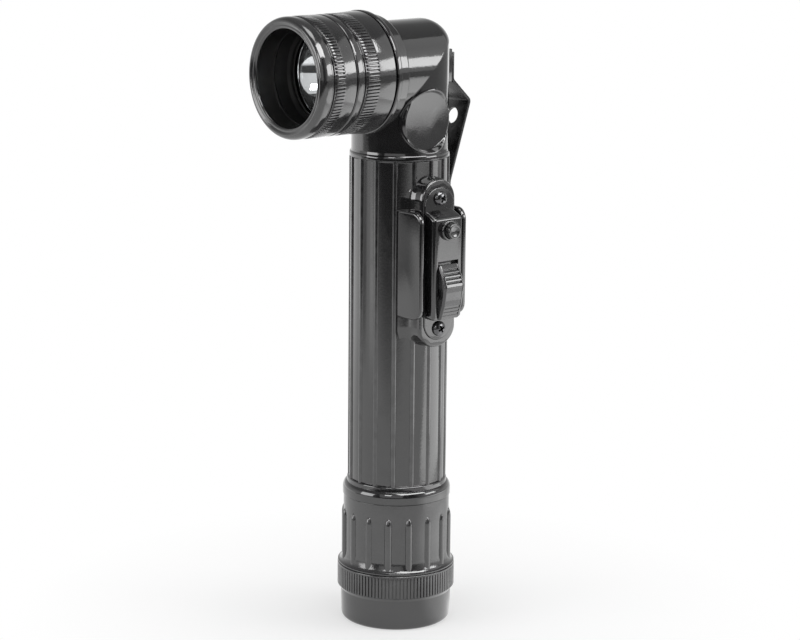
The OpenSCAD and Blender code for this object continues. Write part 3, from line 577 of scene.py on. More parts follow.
class Effects:
    """The surface effects that several finishes share."""

    def __init__(self) -> None:
        """Builds each effect once."""
        self.skin = self.moulded_skin()
        self.wear = self.edge_wear()
        self.dust = self.settled_dust()
        self.lines = self.drawn_lines()

    def moulded_skin(self) -> bpy.types.NodeTree:
        """Gives a moulding's cloudy tone, its handling marks and its fine grain.

        Returns:
            The node group.
        """
        outputs = ("Mottle", "Smudge", "Height")
        sheet, entry, leave = group("moulded skin", {"Cloud": 60.0, "Grain": 2200.0}, outputs)
        cloud = sheet.noise(entry["Vector"], entry["Cloud"], 4.0)
        sheet.feed(leave["Mottle"], sheet.spread(cloud, 0.0, 1.0, 0.32, 0.68))
        marks = sheet.noise(entry["Vector"], entry["Cloud"], 8.0, Roughness=0.68, Distortion=1.6)
        sheet.feed(leave["Smudge"], sheet.spread(marks, 0.0, 1.0, 0.46, 0.74))
        sheet.feed(leave["Height"], sheet.noise(entry["Vector"], entry["Grain"], 2.0))
        return sheet.tree

    def edge_wear(self) -> bpy.types.NodeTree:
        """Gives a mask of edges rubbed by handling.

        Returns:
            The node group.
        """
        sheet, entry, leave = group("edge wear", {"Start": 0.53, "End": 0.62, "Scale": 420.0}, ("Mask",))
        point = sheet.add("ShaderNodeNewGeometry").outputs["Pointiness"]
        edge = sheet.spread(point, 0.0, 1.0, entry["Start"], entry["End"])
        broken = sheet.spread(sheet.noise(entry["Vector"], entry["Scale"], 5.0), 0.0, 1.0, 0.38, 0.62)
        sheet.feed(leave["Mask"], sheet.times(edge, broken))
        return sheet.tree

    def settled_dust(self) -> bpy.types.NodeTree:
        """Gives a mask of sparse specks, most of them on faces that look up.

        Returns:
            The node group.
        """
        sheet, entry, leave = group("settled dust", {"Scale": 700.0, "Size": 0.09}, ("Mask",))
        cells = sheet.add("ShaderNodeTexVoronoi", {"Vector": entry["Vector"], "Scale": entry["Scale"]})
        speck = sheet.reckon("LESS_THAN", cells.outputs["Distance"], entry["Size"])
        some = sheet.spread(sheet.noise(entry["Vector"], 160.0, 2.0), 0.0, 1.0, 0.58, 0.64)
        normal = sheet.add("ShaderNodeNewGeometry").outputs["Normal"]
        up = sheet.add("ShaderNodeSeparateXYZ", {"Vector": normal}).outputs["Z"]
        lying = sheet.spread(up, 0.25, 1.0, 0.0, 0.8)
        sheet.feed(leave["Mask"], sheet.times(sheet.times(speck, some), lying))
        return sheet.tree

    def drawn_lines(self) -> bpy.types.NodeTree:
        """Gives the fine lines that drawing or turning leaves on metal.

        Returns:
            The node group.
        """
        sheet, entry, leave = group("drawn lines", {"Across": 2600.0, "Along": 60.0}, ("Height",))
        sizes = {"X": entry["Across"], "Y": entry["Across"], "Z": entry["Along"]}
        size = sheet.add("ShaderNodeCombineXYZ", sizes).outputs[0]
        scaled = sheet.add("ShaderNodeVectorMath", {0: entry["Vector"], 1: size}, operation="MULTIPLY")
        sheet.feed(leave["Height"], sheet.noise(scaled.outputs[0], 1.0, 3.0))
        return sheet.tree


def shader(name: str, fixed: dict) -> tuple[bpy.types.Material, Sheet, bpy.types.Node, Socket]:
    """Starts a material with its main shader and its place on the piece.

    Args:
        name: The material's name.
        fixed: The shader's sockets that are the same all over.

    Returns:
        The material, its sheet, its shader and the place's socket.
    """
    material = bpy.data.materials.new(name)
    material.use_nodes = True
    material.node_tree.nodes.clear()
    sheet = Sheet(material.node_tree)
    main = sheet.add("ShaderNodeBsdfPrincipled", fixed)
    sheet.add("ShaderNodeOutputMaterial", {"Surface": main.outputs["BSDF"]})
    return material, sheet, main, sheet.add("ShaderNodeTexCoord").outputs["Object"]


@dataclass(frozen=True)
class Moulding:
    """A moulded plastic or rubber finish, or a coat."""

    name: str
    dark: Colour
    light: Colour
    rough: Point
    level: float = 0.5
    cloud: float = 60.0
    grain: float = 2200.0
    bump: float = 0.02
    worn: Colour = (0.09, 0.09, 0.092)
    wear: float = 0.25
    speck: Colour = (0.3, 0.3, 0.29)
    dusty: float = 0.35

    def make(self, effects: Effects) -> bpy.types.Material:
        """Writes the finish as a material.

        Args:
            effects: The shared effects.

        Returns:
            The material.
        """
        material, sheet, main, place = shader(self.name, {"IOR": 1.5, "Specular IOR Level": self.level})
        skin = sheet.effect(effects.skin, place, Cloud=self.cloud, Grain=self.grain).outputs
        worn = sheet.effect(effects.wear, place).outputs["Mask"]
        dust = sheet.effect(effects.dust, place).outputs["Mask"]
        tone = sheet.mix(skin["Mottle"], (*self.dark, 1), (*self.light, 1))
        tone = sheet.mix(sheet.spread(worn, 0.0, self.wear), tone, (*self.worn, 1))
        tone = sheet.mix(sheet.spread(dust, 0.0, self.dusty), tone, (*self.speck, 1))
        sheet.feed(main.inputs["Base Color"], tone)
        sheet.feed(main.inputs["Roughness"], sheet.spread(skin["Smudge"], *self.rough))
        sheet.bump(main, self.bump, 0.0004, skin["Height"])
        return material


@dataclass(frozen=True)
class Metal:
    """A metal finish with drawn lines and a little tarnish."""

    name: str
    clean: Colour
    dull: Colour
    rough: Point
    lines: float = 0.05
    cloud: float = 180.0

    def make(self, effects: Effects) -> bpy.types.Material:
        """Writes the finish as a material.

        Args:
            effects: The shared effects.

        Returns:
            The material.
        """
        material, sheet, main, place = shader(self.name, {"Metallic": 1.0, "IOR": 1.5})
        skin = sheet.effect(effects.skin, place, Cloud=self.cloud).outputs
        drawn = sheet.effect(effects.lines, place).outputs
        sheet.feed(main.inputs["Base Color"], sheet.mix(skin["Smudge"], (*self.clean, 1), (*self.dull, 1)))
        sheet.feed(main.inputs["Roughness"], sheet.spread(skin["Mottle"], *self.rough))
        sheet.bump(main, self.lines, 0.0002, drawn["Height"])
        return material


@dataclass(frozen=True)
class Clear:
    """A clear or tinted finish that light goes through."""

    name: str
    tint: Colour
    deep: Colour
    rough: Point
    ior: float = 1.49
    bump: float = 0.01
    cloud: float = 220.0
    grain: float = 500.0

    def make(self, effects: Effects) -> bpy.types.Material:
        """Writes the finish as a material.

        Args:
            effects: The shared effects.

        Returns:
            The material.
        """
        fixed = {"Metallic": 0.0, "Transmission Weight": 1.0, "IOR": self.ior}
        material, sheet, main, place = shader(self.name, fixed)
        skin = sheet.effect(effects.skin, place, Cloud=self.cloud, Grain=self.grain).outputs
        sheet.feed(main.inputs["Base Color"], sheet.mix(skin["Mottle"], (*self.tint, 1), (*self.deep, 1)))
        sheet.feed(main.inputs["Roughness"], sheet.spread(skin["Smudge"], *self.rough))
        sheet.bump(main, self.bump, 0.0002, skin["Height"])
        return material


@dataclass(frozen=True)
class CellCan:
    """A cell's can, with a pale band near its upper end."""

    name: str
    band: Point
    dark: Colour = (0.02, 0.035, 0.06)
    light: Colour = (0.03, 0.05, 0.08)
    pale: Colour = (0.42, 0.4, 0.36)
    rough: Point = (0.25, 0.42)

    def make(self, effects: Effects) -> bpy.types.Material:
        """Writes the finish as a material.

        Args:
            effects: The shared effects.

        Returns:
            The material.
        """
        material, sheet, main, place = shader(self.name, {"Metallic": 0.35, "IOR": 1.5})
        skin = sheet.effect(effects.skin, place).outputs
        height = sheet.add("ShaderNodeSeparateXYZ", {"Vector": place}).outputs["Z"]
        band = sheet.times(sheet.reckon("GREATER_THAN", height, self.band[0] * MM),
                           sheet.reckon("LESS_THAN", height, self.band[1] * MM))
        body = sheet.mix(skin["Mottle"], (*self.dark, 1), (*self.light, 1))
        sheet.feed(main.inputs["Base Color"], sheet.mix(band, body, (*self.pale, 1)))
        sheet.feed(main.inputs["Roughness"], sheet.spread(skin["Smudge"], *self.rough))
        return material


Finish = Moulding | Metal | Clear | CellCan

GLOSS = Moulding("gloss black moulding", (0.005, 0.005, 0.0053), (0.0095, 0.0095, 0.0098), (0.06, 0.17),
                 level=1.0)
RING_GLOSS = Moulding("gloss black rings", (0.008, 0.008, 0.0085), (0.016, 0.016, 0.0165), (0.09, 0.2),
                      level=1.0, cloud=90.0, bump=0.03)
SATIN = Moulding("satin black caps", (0.014, 0.014, 0.0145), (0.023, 0.023, 0.0235), (0.1, 0.2), level=1.0,
                 cloud=110.0, bump=0.06, grain=3000.0)
CONTROL = Moulding("black controls", (0.01, 0.01, 0.0105), (0.02, 0.02, 0.0205), (0.12, 0.26), level=0.9,
                   cloud=140.0, bump=0.04)
BORE = Moulding("matt black bore", (0.004, 0.004, 0.004), (0.008, 0.008, 0.008), (0.42, 0.58), level=0.3,
                wear=0.0)
RUBBER = Moulding("black rubber", (0.009, 0.009, 0.009), (0.016, 0.016, 0.016), (0.62, 0.8), level=0.35,
                  bump=0.12, wear=0.0)
LAMINATE = Moulding("brown laminate", (0.2, 0.12, 0.06), (0.3, 0.19, 0.1), (0.5, 0.68), cloud=320.0, bump=0.1,
                    worn=(0.4, 0.28, 0.17))
CLIP_COAT = Moulding("black coated clip steel", (0.007, 0.007, 0.0072), (0.013, 0.013, 0.0132), (0.22, 0.36),
                     cloud=120.0, bump=0.05, worn=(0.22, 0.22, 0.22), wear=0.5)
BRASS = Metal("contact brass", (0.72, 0.55, 0.27), (0.42, 0.3, 0.14), (0.2, 0.36))
BRIGHT_STEEL = Metal("bright spring steel", (0.62, 0.63, 0.64), (0.36, 0.36, 0.37), (0.18, 0.32))
DARK_STEEL = Metal("blackened screw steel", (0.11, 0.11, 0.113), (0.06, 0.06, 0.062), (0.1, 0.2), cloud=500.0)
CHROME = Metal("reflector mirror", (0.9, 0.91, 0.92), (0.8, 0.81, 0.82), (0.02, 0.06), lines=0.01)
BULB_GLASS = Clear("bulb glass", (0.97, 0.98, 0.99), (0.94, 0.96, 0.97), (0.0, 0.02), ior=1.47)
LENS_CLEAR = Clear("clear lens", (0.98, 0.985, 0.985), (0.95, 0.96, 0.96), (0.0, 0.03))
RED_FILTER = Clear("red filter", (0.72, 0.02, 0.02), (0.55, 0.01, 0.01), (0.06, 0.16))
BLUE_FILTER = Clear("blue filter", (0.04, 0.12, 0.66), (0.02, 0.08, 0.5), (0.06, 0.16))
FROSTED_FILTER = Clear("frosted filter", (0.93, 0.93, 0.91), (0.86, 0.86, 0.84), (0.5, 0.65), bump=0.2)
LOWER_CAN = CellCan("lower cell can", (58.0, 69.0))
UPPER_CAN = CellCan("upper cell can", (108.5, 119.5))

# Nodes that keep their own shape.
CARRIED = {
    "switch_gasket": RUBBER, "lamp_contact": BRASS, "return_strip": BRASS, "tail_strip": BRASS,
    "contact_studs": BRASS, "slide_contact": BRASS, "button_contact": BRASS, "bulb_retainer": BRASS,
    "tail_contact": BRASS, "switch_board": LAMINATE, "red_filter": RED_FILTER, "blue_filter": BLUE_FILTER,
    "frosted_filter": FROSTED_FILTER,
}


class Dresser:
    """Gives each piece its finish and body, and hides the node that it stands for."""

    def __init__(self) -> None:
        """Builds the shared effects."""
        self.effects = Effects()
        self.made: dict[str, bpy.types.Material] = {}

    def coat(self, target: bpy.types.Object, finish: Finish) -> None:
        """Puts a finish on an object, its material made once.

        Args:
            target: The object.
            finish: Its finish.
        """
        if finish.name not in self.made:
            self.made[finish.name] = finish.make(self.effects)
        target.data.materials.clear()
        target.data.materials.append(self.made[finish.name])

    def piece(self, form: Form, name: str, finish: Finish, body: str, node: str,
              smooth: float = SHARP) -> bpy.types.Object:
        """Finishes a form as a piece that stands for a node.

        Args:
            form: The shape.
            name: The piece's name.
            finish: Its finish.
            body: The body that it rides on.
            node: The node that it stands for.
            smooth: Edges that turn more than this stay sharp.

        Returns:
            The piece.
        """
        made = form.finish(name, smooth)
        self.coat(made, finish)
        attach(made, body)
        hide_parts(node)
        LOG.info("%s stands for %s with %d faces", name, node, len(made.data.polygons))
        return made

    def carry(self, nodes: dict[str, bpy.types.Object]) -> None:
        """Puts finishes on the nodes that keep their own shape.

        Args:
            nodes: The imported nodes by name.
        """
        for name, finish in CARRIED.items():
            self.coat(nodes[name], finish)
            LOG.info("%s keeps its own shape", name)


def knurl(crest: float, low: float, high: float, slopes: Point, count: int = 104, deep: float = 0.42) -> Form:
    """Makes a ring of straight teeth with narrow slots between them.

    Args:
        crest: Radius of the teeth's tops.
        low: Where they start.
        high: Where they end.
        slopes: How far each end's face leans in, at the start and at the end.
        count: How many there are.
        deep: Their height.

    Returns:
        The teeth.
    """
    form = Form()
    half = 0.43 * 2 * math.pi * crest / count
    root = crest - deep - 0.3
    form.block((root, -half, low), (crest, half, high))
    top = [v for v in form.bm.verts if v.co.x > (root + crest) / 2]
    for vert in top:
        vert.co.y *= 0.8
        vert.co.z += slopes[0] if vert.co.z < (low + high) / 2 else -slopes[1]
    edges = {e for v in top for e in v.link_edges if e.verts[0] in top and e.verts[1] in top}
    form.soften(edges, 0.07, 2)
    return form.repeat(count)


@dataclass
class CaseMoulding:
    """The case: barrel, neck, elbow, head collar, switch pad, guards and clip boss."""

    barrel_r: float = 12.25
    bore_r: float = 9.8
    bore_top: float = 121.9
    thread_r: Point = (11.7, 12.13)
    land_r: float = 12.12
    collar_r: float = 13.88
    collar_bead: Point = (1.0, 1.75)
    collar_high: float = 3.25
    lip_out: Point = (0.62, 0.58)
    lip_high: float = 4.6
    seam_z: float = 33.3
    spigot_z: float = 24.3
    band_r: float = 12.67
    band_z: float = 121.3
    band_top: float = 122.6
    band_bead: Point = (0.38, 0.8)
    neck_bore_r: float = 8.4
    neck_front: float = -12.8
    head_bore_r: float = 9.4
    rib_count: int = 16
    rib_half: float = 0.72
    rib_out: float = 0.42
    turn_at: float = 6.55
    spot_r: float = 7.4
    spot_z: float = 130.85
    spot_floor: float = 10.3
    spot_lean: float = 0.048
    spot_dish: float = 0.4
    spot_root: float = 8.9
    wall_run: float = 0.65
    wall_start: float = -0.3
    bead_at: float = 0.45
    bead_wide: float = 0.25
    bead_high: float = 0.12
    lip_r: float = 8.2
    step_r: float = 14.15
    flange_r: float = 15.3
    head_thread_r: Point = (12.3, 12.73)
    head_thread_t: Point = (14.3, 21.6)
    collar_back: float = 7.0
    collar_t: tuple[float, float, float] = (8.7, 12.0, 13.55)
    head_end: float = 21.82
    seat_bore_r: float = 11.15
    seat_t: float = 11.3
    pad_x: float = 15.3
    pad_half: float = 5.5
    pad_z: Point = (74.2, 117.0)
    recess_x: float = 14.5
    recess_half: float = 4.86
    recess_z: Point = (76.18, 115.02)
    pad_flare: tuple[Point, ...] = (
        (8.25, 2.2), (9.6, 2.2), (10.3, 1.25), (11.0, 0.65), (11.8, 0.3), (12.8, 0.12), (14.0, 0.04),
        (14.3, 0.01), (14.65, -0.04), (14.92, -0.12), (15.12, -0.24), (15.25, -0.38), (15.3, -0.52))
    pad_spread: float = 0.1
    cavity_half: float = 4.0
    cavity_z: Point = (82.9, 108.3)
    guard_draft: float = 0.095
    guard_y: Point = (6.1, 7.6)
    guard_x: float = 17.3
    guard_z: Point = (82.0, 109.2)
    guard_round: float = 3.0
    guard_bevel: float = 0.6
    boss_half: float = 5.2
    boss_out: float = 0.65
    boss_z: Point = (139.1, 147.5)
    root: float = 8.25

    def barrel(self) -> Form:
        """Turns the barrel with its collar, band and thread, and cuts the switch's cavity.

        Returns:
            The barrel.
        """
        r = self.barrel_r
        seam = self.seam_z
        core, crest = self.thread_r
        top = self.band_top
        form = Form().lathe([
            (self.bore_r, self.spigot_z), (core, self.spigot_z, 0.3), (core, seam - 0.9, 0.2),
            (self.land_r, seam - 0.5), (self.land_r, seam), (self.collar_r, seam, 0.1),
            *bead(self.collar_r, seam + self.collar_high, *self.collar_bead, 80),
            (r + self.lip_out[0], seam + 3.15, 0.15), (r + self.lip_out[1], seam + 4.4, 0.45),
            (r, seam + self.lip_high, 0.12), (r, self.band_z - 0.35, 0.25), (self.band_r, self.band_z, 0.12),
            *bead(self.band_r, top, *self.band_bead, 85),
            (r - 0.02, top + 0.8, 0.5), (r - 0.06, top + 2.0), (self.neck_bore_r, top + 2.0),
            (self.neck_bore_r, self.bore_top), (self.bore_r, self.bore_top)], FINE)
        cavity = Form().block((self.bore_r - 1.0, -self.cavity_half, self.cavity_z[0]),
                              (r + 4.0, self.cavity_half, self.cavity_z[1]))
        form.carve(cavity, self.spot_cutter(1), self.spot_cutter(-1))
        return form.join(Form().thread(core, crest, self.spigot_z + 0.6, seam - 0.9))

    def rib(self, low: float, high: float) -> Form:
        """Makes one rib along the barrel, at the switch's side."""
        form = Form().rod(self.rib_half, low, high, 20)
        return form.shift(self.barrel_r + self.rib_out - self.rib_half, 0, 0)

    def ribs(self) -> Form:
        """Makes the barrel's ribs, the one at the switch broken by its pad.

        Returns:
            The ribs.
        """
        low = self.seam_z + 4.0
        high = self.band_z + 0.2
        step = 360.0 / self.rib_count
        form = Form()
        for place in range(1, self.rib_count):
            form.join(self.rib(low, high).move(Matrix.Rotation(math.radians(place * step), 4, "Z")))
        return form.join(self.rib(low, self.pad_z[0] + 2), self.rib(self.pad_z[1] - 2, high))

    def elbow(self) -> Form:
        """Sweeps the neck up and forward, mitred inside and turned round outside, and cuts its spot faces.

        Returns:
            The elbow.
        """
        form = Form()
        low = self.band_top - 0.6
        section = form.bm.verts.layers.float_vector.new("section")
        start = Matrix.Translation((0, 0, low))
        ring = bmesh.ops.create_circle(form.bm, segments=FINE, radius=self.barrel_r, matrix=start)
        for vert in ring["verts"]:
            vert[section] = vert.co
        edges = list({e for v in ring["verts"] for e in v.link_edges})
        shares = [i / 12 for i in range(1, 12)]
        stations = [(Stage.RISE, share) for share in (*shares, 0.975, 1.0)]
        stations += [(Stage.TURN, math.pi / 2 * i / 14) for i in range(1, 15)]
        stations += [(Stage.RUN, share) for share in (0.025, *shares, 1.0)]
        for stage, amount in stations:
            made = bmesh.ops.extrude_edge_only(form.bm, edges=edges)["geom"]
            verts = {g for g in made if isinstance(g, bmesh.types.BMVert)}
            lines = [g for g in made if isinstance(g, bmesh.types.BMEdge)]
            edges = [e for e in lines if e.verts[0] in verts and e.verts[1] in verts]
            for vert in verts:
                vert.co = self.swept(vert[section], stage, amount, low)
        form.close()
        bore = Form().rod(self.neck_bore_r, 110, HEAD_Z, PLAIN)
        ahead = Form().rod(self.head_bore_r, -7.5, 20, PLAIN).stand(Stand.HEAD)
        form.carve(bore, ahead)
        return form.carve(self.spot_cutter(1), self.spot_cutter(-1))

    def swept(self, section: Vector, stage: Stage, amount: float, low: float) -> Vector:
        """Places one point of the elbow's skin.

        Args:
            section: The point's place in the neck's round section.
            stage: Part of the sweep.
            amount: How far along that part, as a share or an angle.
            low: Height where the sweep starts.

        Returns:
            The point.
        """
        x, y = section.x, section.y
        knee = min(y, self.turn_at)
        reach = max(y - self.turn_at, 0.0)
        if stage is Stage.RISE:
            return Vector((x, y, low + (HEAD_Z + knee - low) * amount))
        if stage is Stage.TURN:
            return Vector((x, knee + reach * math.cos(amount), HEAD_Z + knee + reach * math.sin(amount)))
        return Vector((x, knee + (self.neck_front - knee) * amount, HEAD_Z + y))

    def spot_place(self, side: int) -> Matrix:
        """Gives the place of the spot face on one side."""
        return Matrix.Translation((0, 0, self.spot_z)) @ Matrix.Rotation(side * math.pi / 2, 4, "Y")

    def spot_cutter(self, side: int) -> Form:
        """Makes the cutter that takes one spot face's round of skin out of the neck."""
        return Form().rod(self.lip_r, self.spot_root, 22, PLAIN).move(self.spot_place(side))

    def spot_height(self, reach: float, across: float, rise: float) -> float:
        """Gives how far a spot face stands out from the neck's axis.

        Args:
            reach: Distance from the face's middle.
            across: The same point's distance from the neck's axis, along y.
            rise: Its height over the face's middle.

        Returns:
            The height, from a dished floor that leans out upwards, over a rounded lip to the neck's skin.
        """
        floor = self.spot_floor + self.spot_lean * rise + self.spot_dish * (reach / self.lip_r) ** 2
        skin = math.sqrt(self.barrel_r ** 2 - across ** 2) - 0.05
        past = reach - self.spot_r
        share = min(max((past - self.wall_start) / self.wall_run, 0.0), 1.0)
        lip = self.bead_high * math.exp(-((past - self.bead_at) / self.bead_wide) ** 2)
        return floor + (skin - floor) * share * share * (3 - 2 * share) + lip

    def spot_faces(self) -> Form:
        """Makes the two spot faces, each a disc whose rounded lip follows the neck's round side.

        Returns:
            Both faces.
        """
        form = Form()
        steps = [self.lip_r * i / 14 for i in range(9)] + [self.spot_r - 1.6 + 0.1 * i for i in range(25)]
        line = [(reach, 0.0) for reach in steps if reach <= self.lip_r]
        for side in (1, -1):
            disc = Form().lathe(line)
            disc.tidy()
            for vert in disc.bm.verts:
                reach = math.hypot(vert.co.x, vert.co.y)
                vert.co.z = self.spot_height(reach, vert.co.y, -side * vert.co.x)
            rim = [e for e in disc.bm.edges if e.is_boundary]
            made = bmesh.ops.extrude_edge_only(disc.bm, edges=rim)["geom"]
            for vert in (g for g in made if isinstance(g, bmesh.types.BMVert)):
                vert.co.z = self.spot_root
            disc.close()
            form.join(disc.move(self.spot_place(side)))
        return form

    def collar(self) -> Form:
        """Turns the head's step, flange and thread.

        Returns:
            The collar.
        """
        r = self.barrel_r
        core, crest = self.head_thread_r
        low, high = self.head_thread_t
        land = crest + 0.01
        back = self.collar_back
        step, flange, face = self.collar_t
        form = Form().lathe([
            (self.head_bore_r, back), (r - 0.06, back), (r - 0.02, step, 0.9), (self.step_r, step, 0.6),
            (self.step_r, flange, 0.25), (self.flange_r, flange, 0.5), (self.flange_r, face, 0.35),
            (land, face), (land, low - 0.1), (core, low + 0.2), (core, self.head_end, 0.25),
            (self.seat_bore_r, self.head_end), (self.seat_bore_r, self.seat_t),
            (self.head_bore_r, self.seat_t)], FINE)
        return form.join(Form().thread(core, crest, low, high)).stand(Stand.HEAD)

    def switch_pad(self) -> Form:
        """Makes the switch's pad with its flared foot and its recess, and the guards beside it.

        Returns:
            The pad and the guards.
        """
        low, high = self.pad_z
        form = Form()
        loops = []
        for x, out in self.pad_flare:
            line = stadium(self.pad_half + out, low - out, high + out)
            verts = [form.bm.verts.new((y, z, x - self.root)) for y, z in line]
            loops.append([form.bm.edges.new(pair) for pair in zip(verts, verts[1:] + verts[:1])])
        for lower, upper in zip(loops, loops[1:]):
            bmesh.ops.bridge_loops(form.bm, edges=lower + upper)
        form.close()
        form.stand(Stand.SIDE_PLATE, (self.root, 0, 0))
        for vert in form.bm.verts:
            vert.co.y *= 1 + self.pad_spread * min(max((self.guard_z[0] + 6 - vert.co.z) / 10, 0.0), 1.0)
        recess = Form().plate(stadium(self.recess_half, *self.recess_z), self.pad_x - self.recess_x + 1)
        recess.stand(Stand.SIDE_PLATE, (self.recess_x, 0, 0))
        pit = Form().block((self.root + 0.4, -self.cavity_half, self.cavity_z[0]),
                           (self.pad_x + 1, self.cavity_half, self.cavity_z[1]))
        return form.carve(recess, pit).join(self.guard(1), self.guard(-1))

    def guard(self, side: int) -> Form:
        """Makes one raised guard with round corners and a drafted outer face.

        Args:
            side: 1 for the one towards the clip, -1 for the one towards the lens.

        Returns:
            The guard.
        """
        low, high = self.guard_z
        outline = rounded([(self.root, low), (self.guard_x, low, self.guard_round),
                           (self.guard_x, high, self.guard_round), (self.root, high)], True, 10)
        near, far = self.guard_y
        form = Form().plate(outline, far - near, self.guard_bevel, self.guard_bevel, 5)
        form.stand(Stand.FRONT_PLATE, (0, far if side > 0 else -near, 0))
        for vert in form.bm.verts:
            if abs(vert.co.y) > (near + far) / 2:
                vert.co.y += side * self.guard_draft * (self.guard_x - vert.co.x)
        return form

    def clip_boss(self) -> Form:
        """Makes the flat boss that carries the clip."""
        return Form().block((-self.boss_half, self.barrel_r - 6, self.boss_z[0]),
                            (self.boss_half, self.barrel_r + self.boss_out, self.boss_z[1]), 0.3)

    def build(self, dresser: Dresser) -> None:
        """Builds and dresses the case.

        Args:
            dresser: What finishes the pieces.
        """
        pieces = {
            "case_barrel": self.barrel(), "case_barrel_ribs": self.ribs(), "case_elbow": self.elbow(),
            "case_spot_faces": self.spot_faces(), "case_head_collar": self.collar(),
            "case_switch_pad": self.switch_pad(), "case_clip_boss": self.clip_boss(),
        }
        for name, form in pieces.items():
            dresser.piece(form, name, GLOSS, "case", "case")


@dataclass
class HeadRings:
    """The lens ring and the filter ring, with the seals between them."""

    ring_r: float = 14.9
    flare_r: float = 15.2
    land_r: float = 14.54
    groove_r: float = 14.2
    bore_r: float = 12.8
    rear: float = 13.92
    split: float = 25.92
    front: float = 36.72
    front_r: float = 11.95
    liner_r: float = 12.3
    lip_r: float = 11.3
    thread_r: Point = (12.7, 13.12)
    thread_len: float = 4.4
    skirt_r: float = 13.2
    skirt_end: float = 31.02
    liner_back: float = 0.8
    liner_front: float = 1.0
    front_bead: Point = (1.2, 1.92)
    mouth_bead: float = 0.67
    tooth_slopes: Point = (0.0, 0.3)
    lens_grip: tuple[float, ...] = (18.95, 19.12, 22.98, 23.14, 23.62, 23.95)
    lens_teeth: Point = (18.6, 22.92)
    filter_grip: tuple[float, ...] = (29.85, 30.02, 32.58, 32.76, 33.22, 33.6)
    filter_teeth: Point = (29.5, 32.54)

    def grip(self, heights: Sequence[float], soft: float) -> list[Corner]:
        """Gives the profile of a ring's knurled band and the groove in front of it.

        Args:
            heights: Start of the band, both ends of its land, both ends of the groove, and the full ring.
            soft: Fillet where the ring is full again.

        Returns:
            The profile's corners.
        """
        start, land, end, groove, rise, full = heights
        return [(self.ring_r, start, 0.05), (self.land_r, land, 0.05), (self.land_r, end, 0.05),
                (self.groove_r, groove, 0.06), (self.groove_r, rise, 0.1), (self.ring_r, full, soft)]

    def lens_ring(self) -> Form:
        """Turns the lens ring with its knurl and front thread.

        Returns:
            The ring.
        """
        r = self.ring_r
        split = self.split
        core, crest = self.thread_r
        land = crest + 0.01
        end = split + self.thread_len
        form = Form().lathe([
            (self.bore_r, self.rear), (self.flare_r, self.rear, 0.4), *self.grip(self.lens_grip, 0.35),
            (r, split, 0.5), (land, split), (land, split + 0.5), (core, split + 0.8), (core, end, 0.2),
            (self.liner_r, end), (self.liner_r, split - self.liner_back),
            (self.bore_r, split - self.liner_back)], FINE)
        form.join(Form().thread(core, crest, split + 0.6, end - 0.1))
        form.join(knurl(r, *self.lens_teeth, self.tooth_slopes))
        return form.stand(Stand.HEAD)

    def lens_liner(self) -> Form:
        """Turns the matt inside of the lens ring, with the lip in front of the lens.

        Returns:
            The liner.
        """
        low, high = self.split - self.liner_back, self.split + self.thread_len
        bore = self.front_r - 0.04
        form = Form().lathe([(self.lip_r, low, 0.1), (self.lip_r, low + 0.7, 0.5), (bore, low + 1.6, 0.4),
                             (bore, high), (self.liner_r, high), (self.liner_r, low)], FINE)
        return form.stand(Stand.HEAD)

    def filter_ring(self) -> Form:
        """Turns the filter ring with its knurl and the two round beads at its front.

        Returns:
            The ring.
        """
        r = self.ring_r
        back = self.split + 0.1
        front = self.front
        form = Form().lathe([
            (self.skirt_r, back), (r, back, 0.4), *self.grip(self.filter_grip, 0.4),
            *bead(r, front, *self.front_bead, 115, 14),
            *arc((self.front_r + self.mouth_bead, front - 0.9), self.mouth_bead, 62, 180),
            (self.front_r, front - self.liner_front), (self.liner_r, front - self.liner_front),
            (self.liner_r, self.skirt_end), (self.skirt_r, self.skirt_end)], FINE)
        return form.join(knurl(r, *self.filter_teeth, self.tooth_slopes)).stand(Stand.HEAD)

    def filter_liner(self) -> Form:
        """Turns the matt inside of the filter ring.

        Returns:
            The liner.
        """
        low, high = self.skirt_end, self.front - self.liner_front
        form = Form().lathe([(self.front_r, low), (self.front_r, high), (self.liner_r, high),
                             (self.liner_r, low)], FINE)
        return form.stand(Stand.HEAD)

    def seal(self, inner: float, outer: float, low: float, high: float) -> Form:
        """Turns one sealing ring with round edges."""
        soft = 0.42 * min(high - low, outer - inner)
        return Form().lathe([(inner, low, soft), (outer, low, soft), (outer, high, soft),
                             (inner, high, soft)])

    def build(self, dresser: Dresser) -> None:
        """Builds and dresses the rings and their seals.

        Args:
            dresser: What finishes the pieces.
        """
        rings = (
            (self.lens_ring(), "lens_ring_knurled", RING_GLOSS, "lens_ring"),
            (self.lens_liner(), "lens_ring_liner", BORE, "lens_ring"),
            (self.filter_ring(), "filter_ring_knurled", RING_GLOSS, "filter_ring"),
            (self.filter_liner(), "filter_ring_liner", BORE, "filter_ring"),
        )
        for form, name, finish, node in rings:
            dresser.piece(form, name, finish, node, node)
        for node, body, sizes in (("head_gasket", "case", (12.8, 14.2, 13.55, 13.9)),
                                  ("lens_gasket", "lens_carrier", (11.05, 12.25, 24.62, 25.12)),
                                  ("filter_gasket", "filter_carrier", (11.95, 13.1, 30.37, 30.97)),
                                  ("tail_gasket", "case", (12.17, 12.95, 32.5, 33.3)),
                                  ("foot_gasket", "tail_cap", (13.12, 13.9, 14.3, 14.9))):
            form = self.seal(*sizes)
            if node not in ("tail_gasket", "foot_gasket"):
                form.stand(Stand.HEAD)
            dresser.piece(form, node + "_ring", RUBBER, body, node)


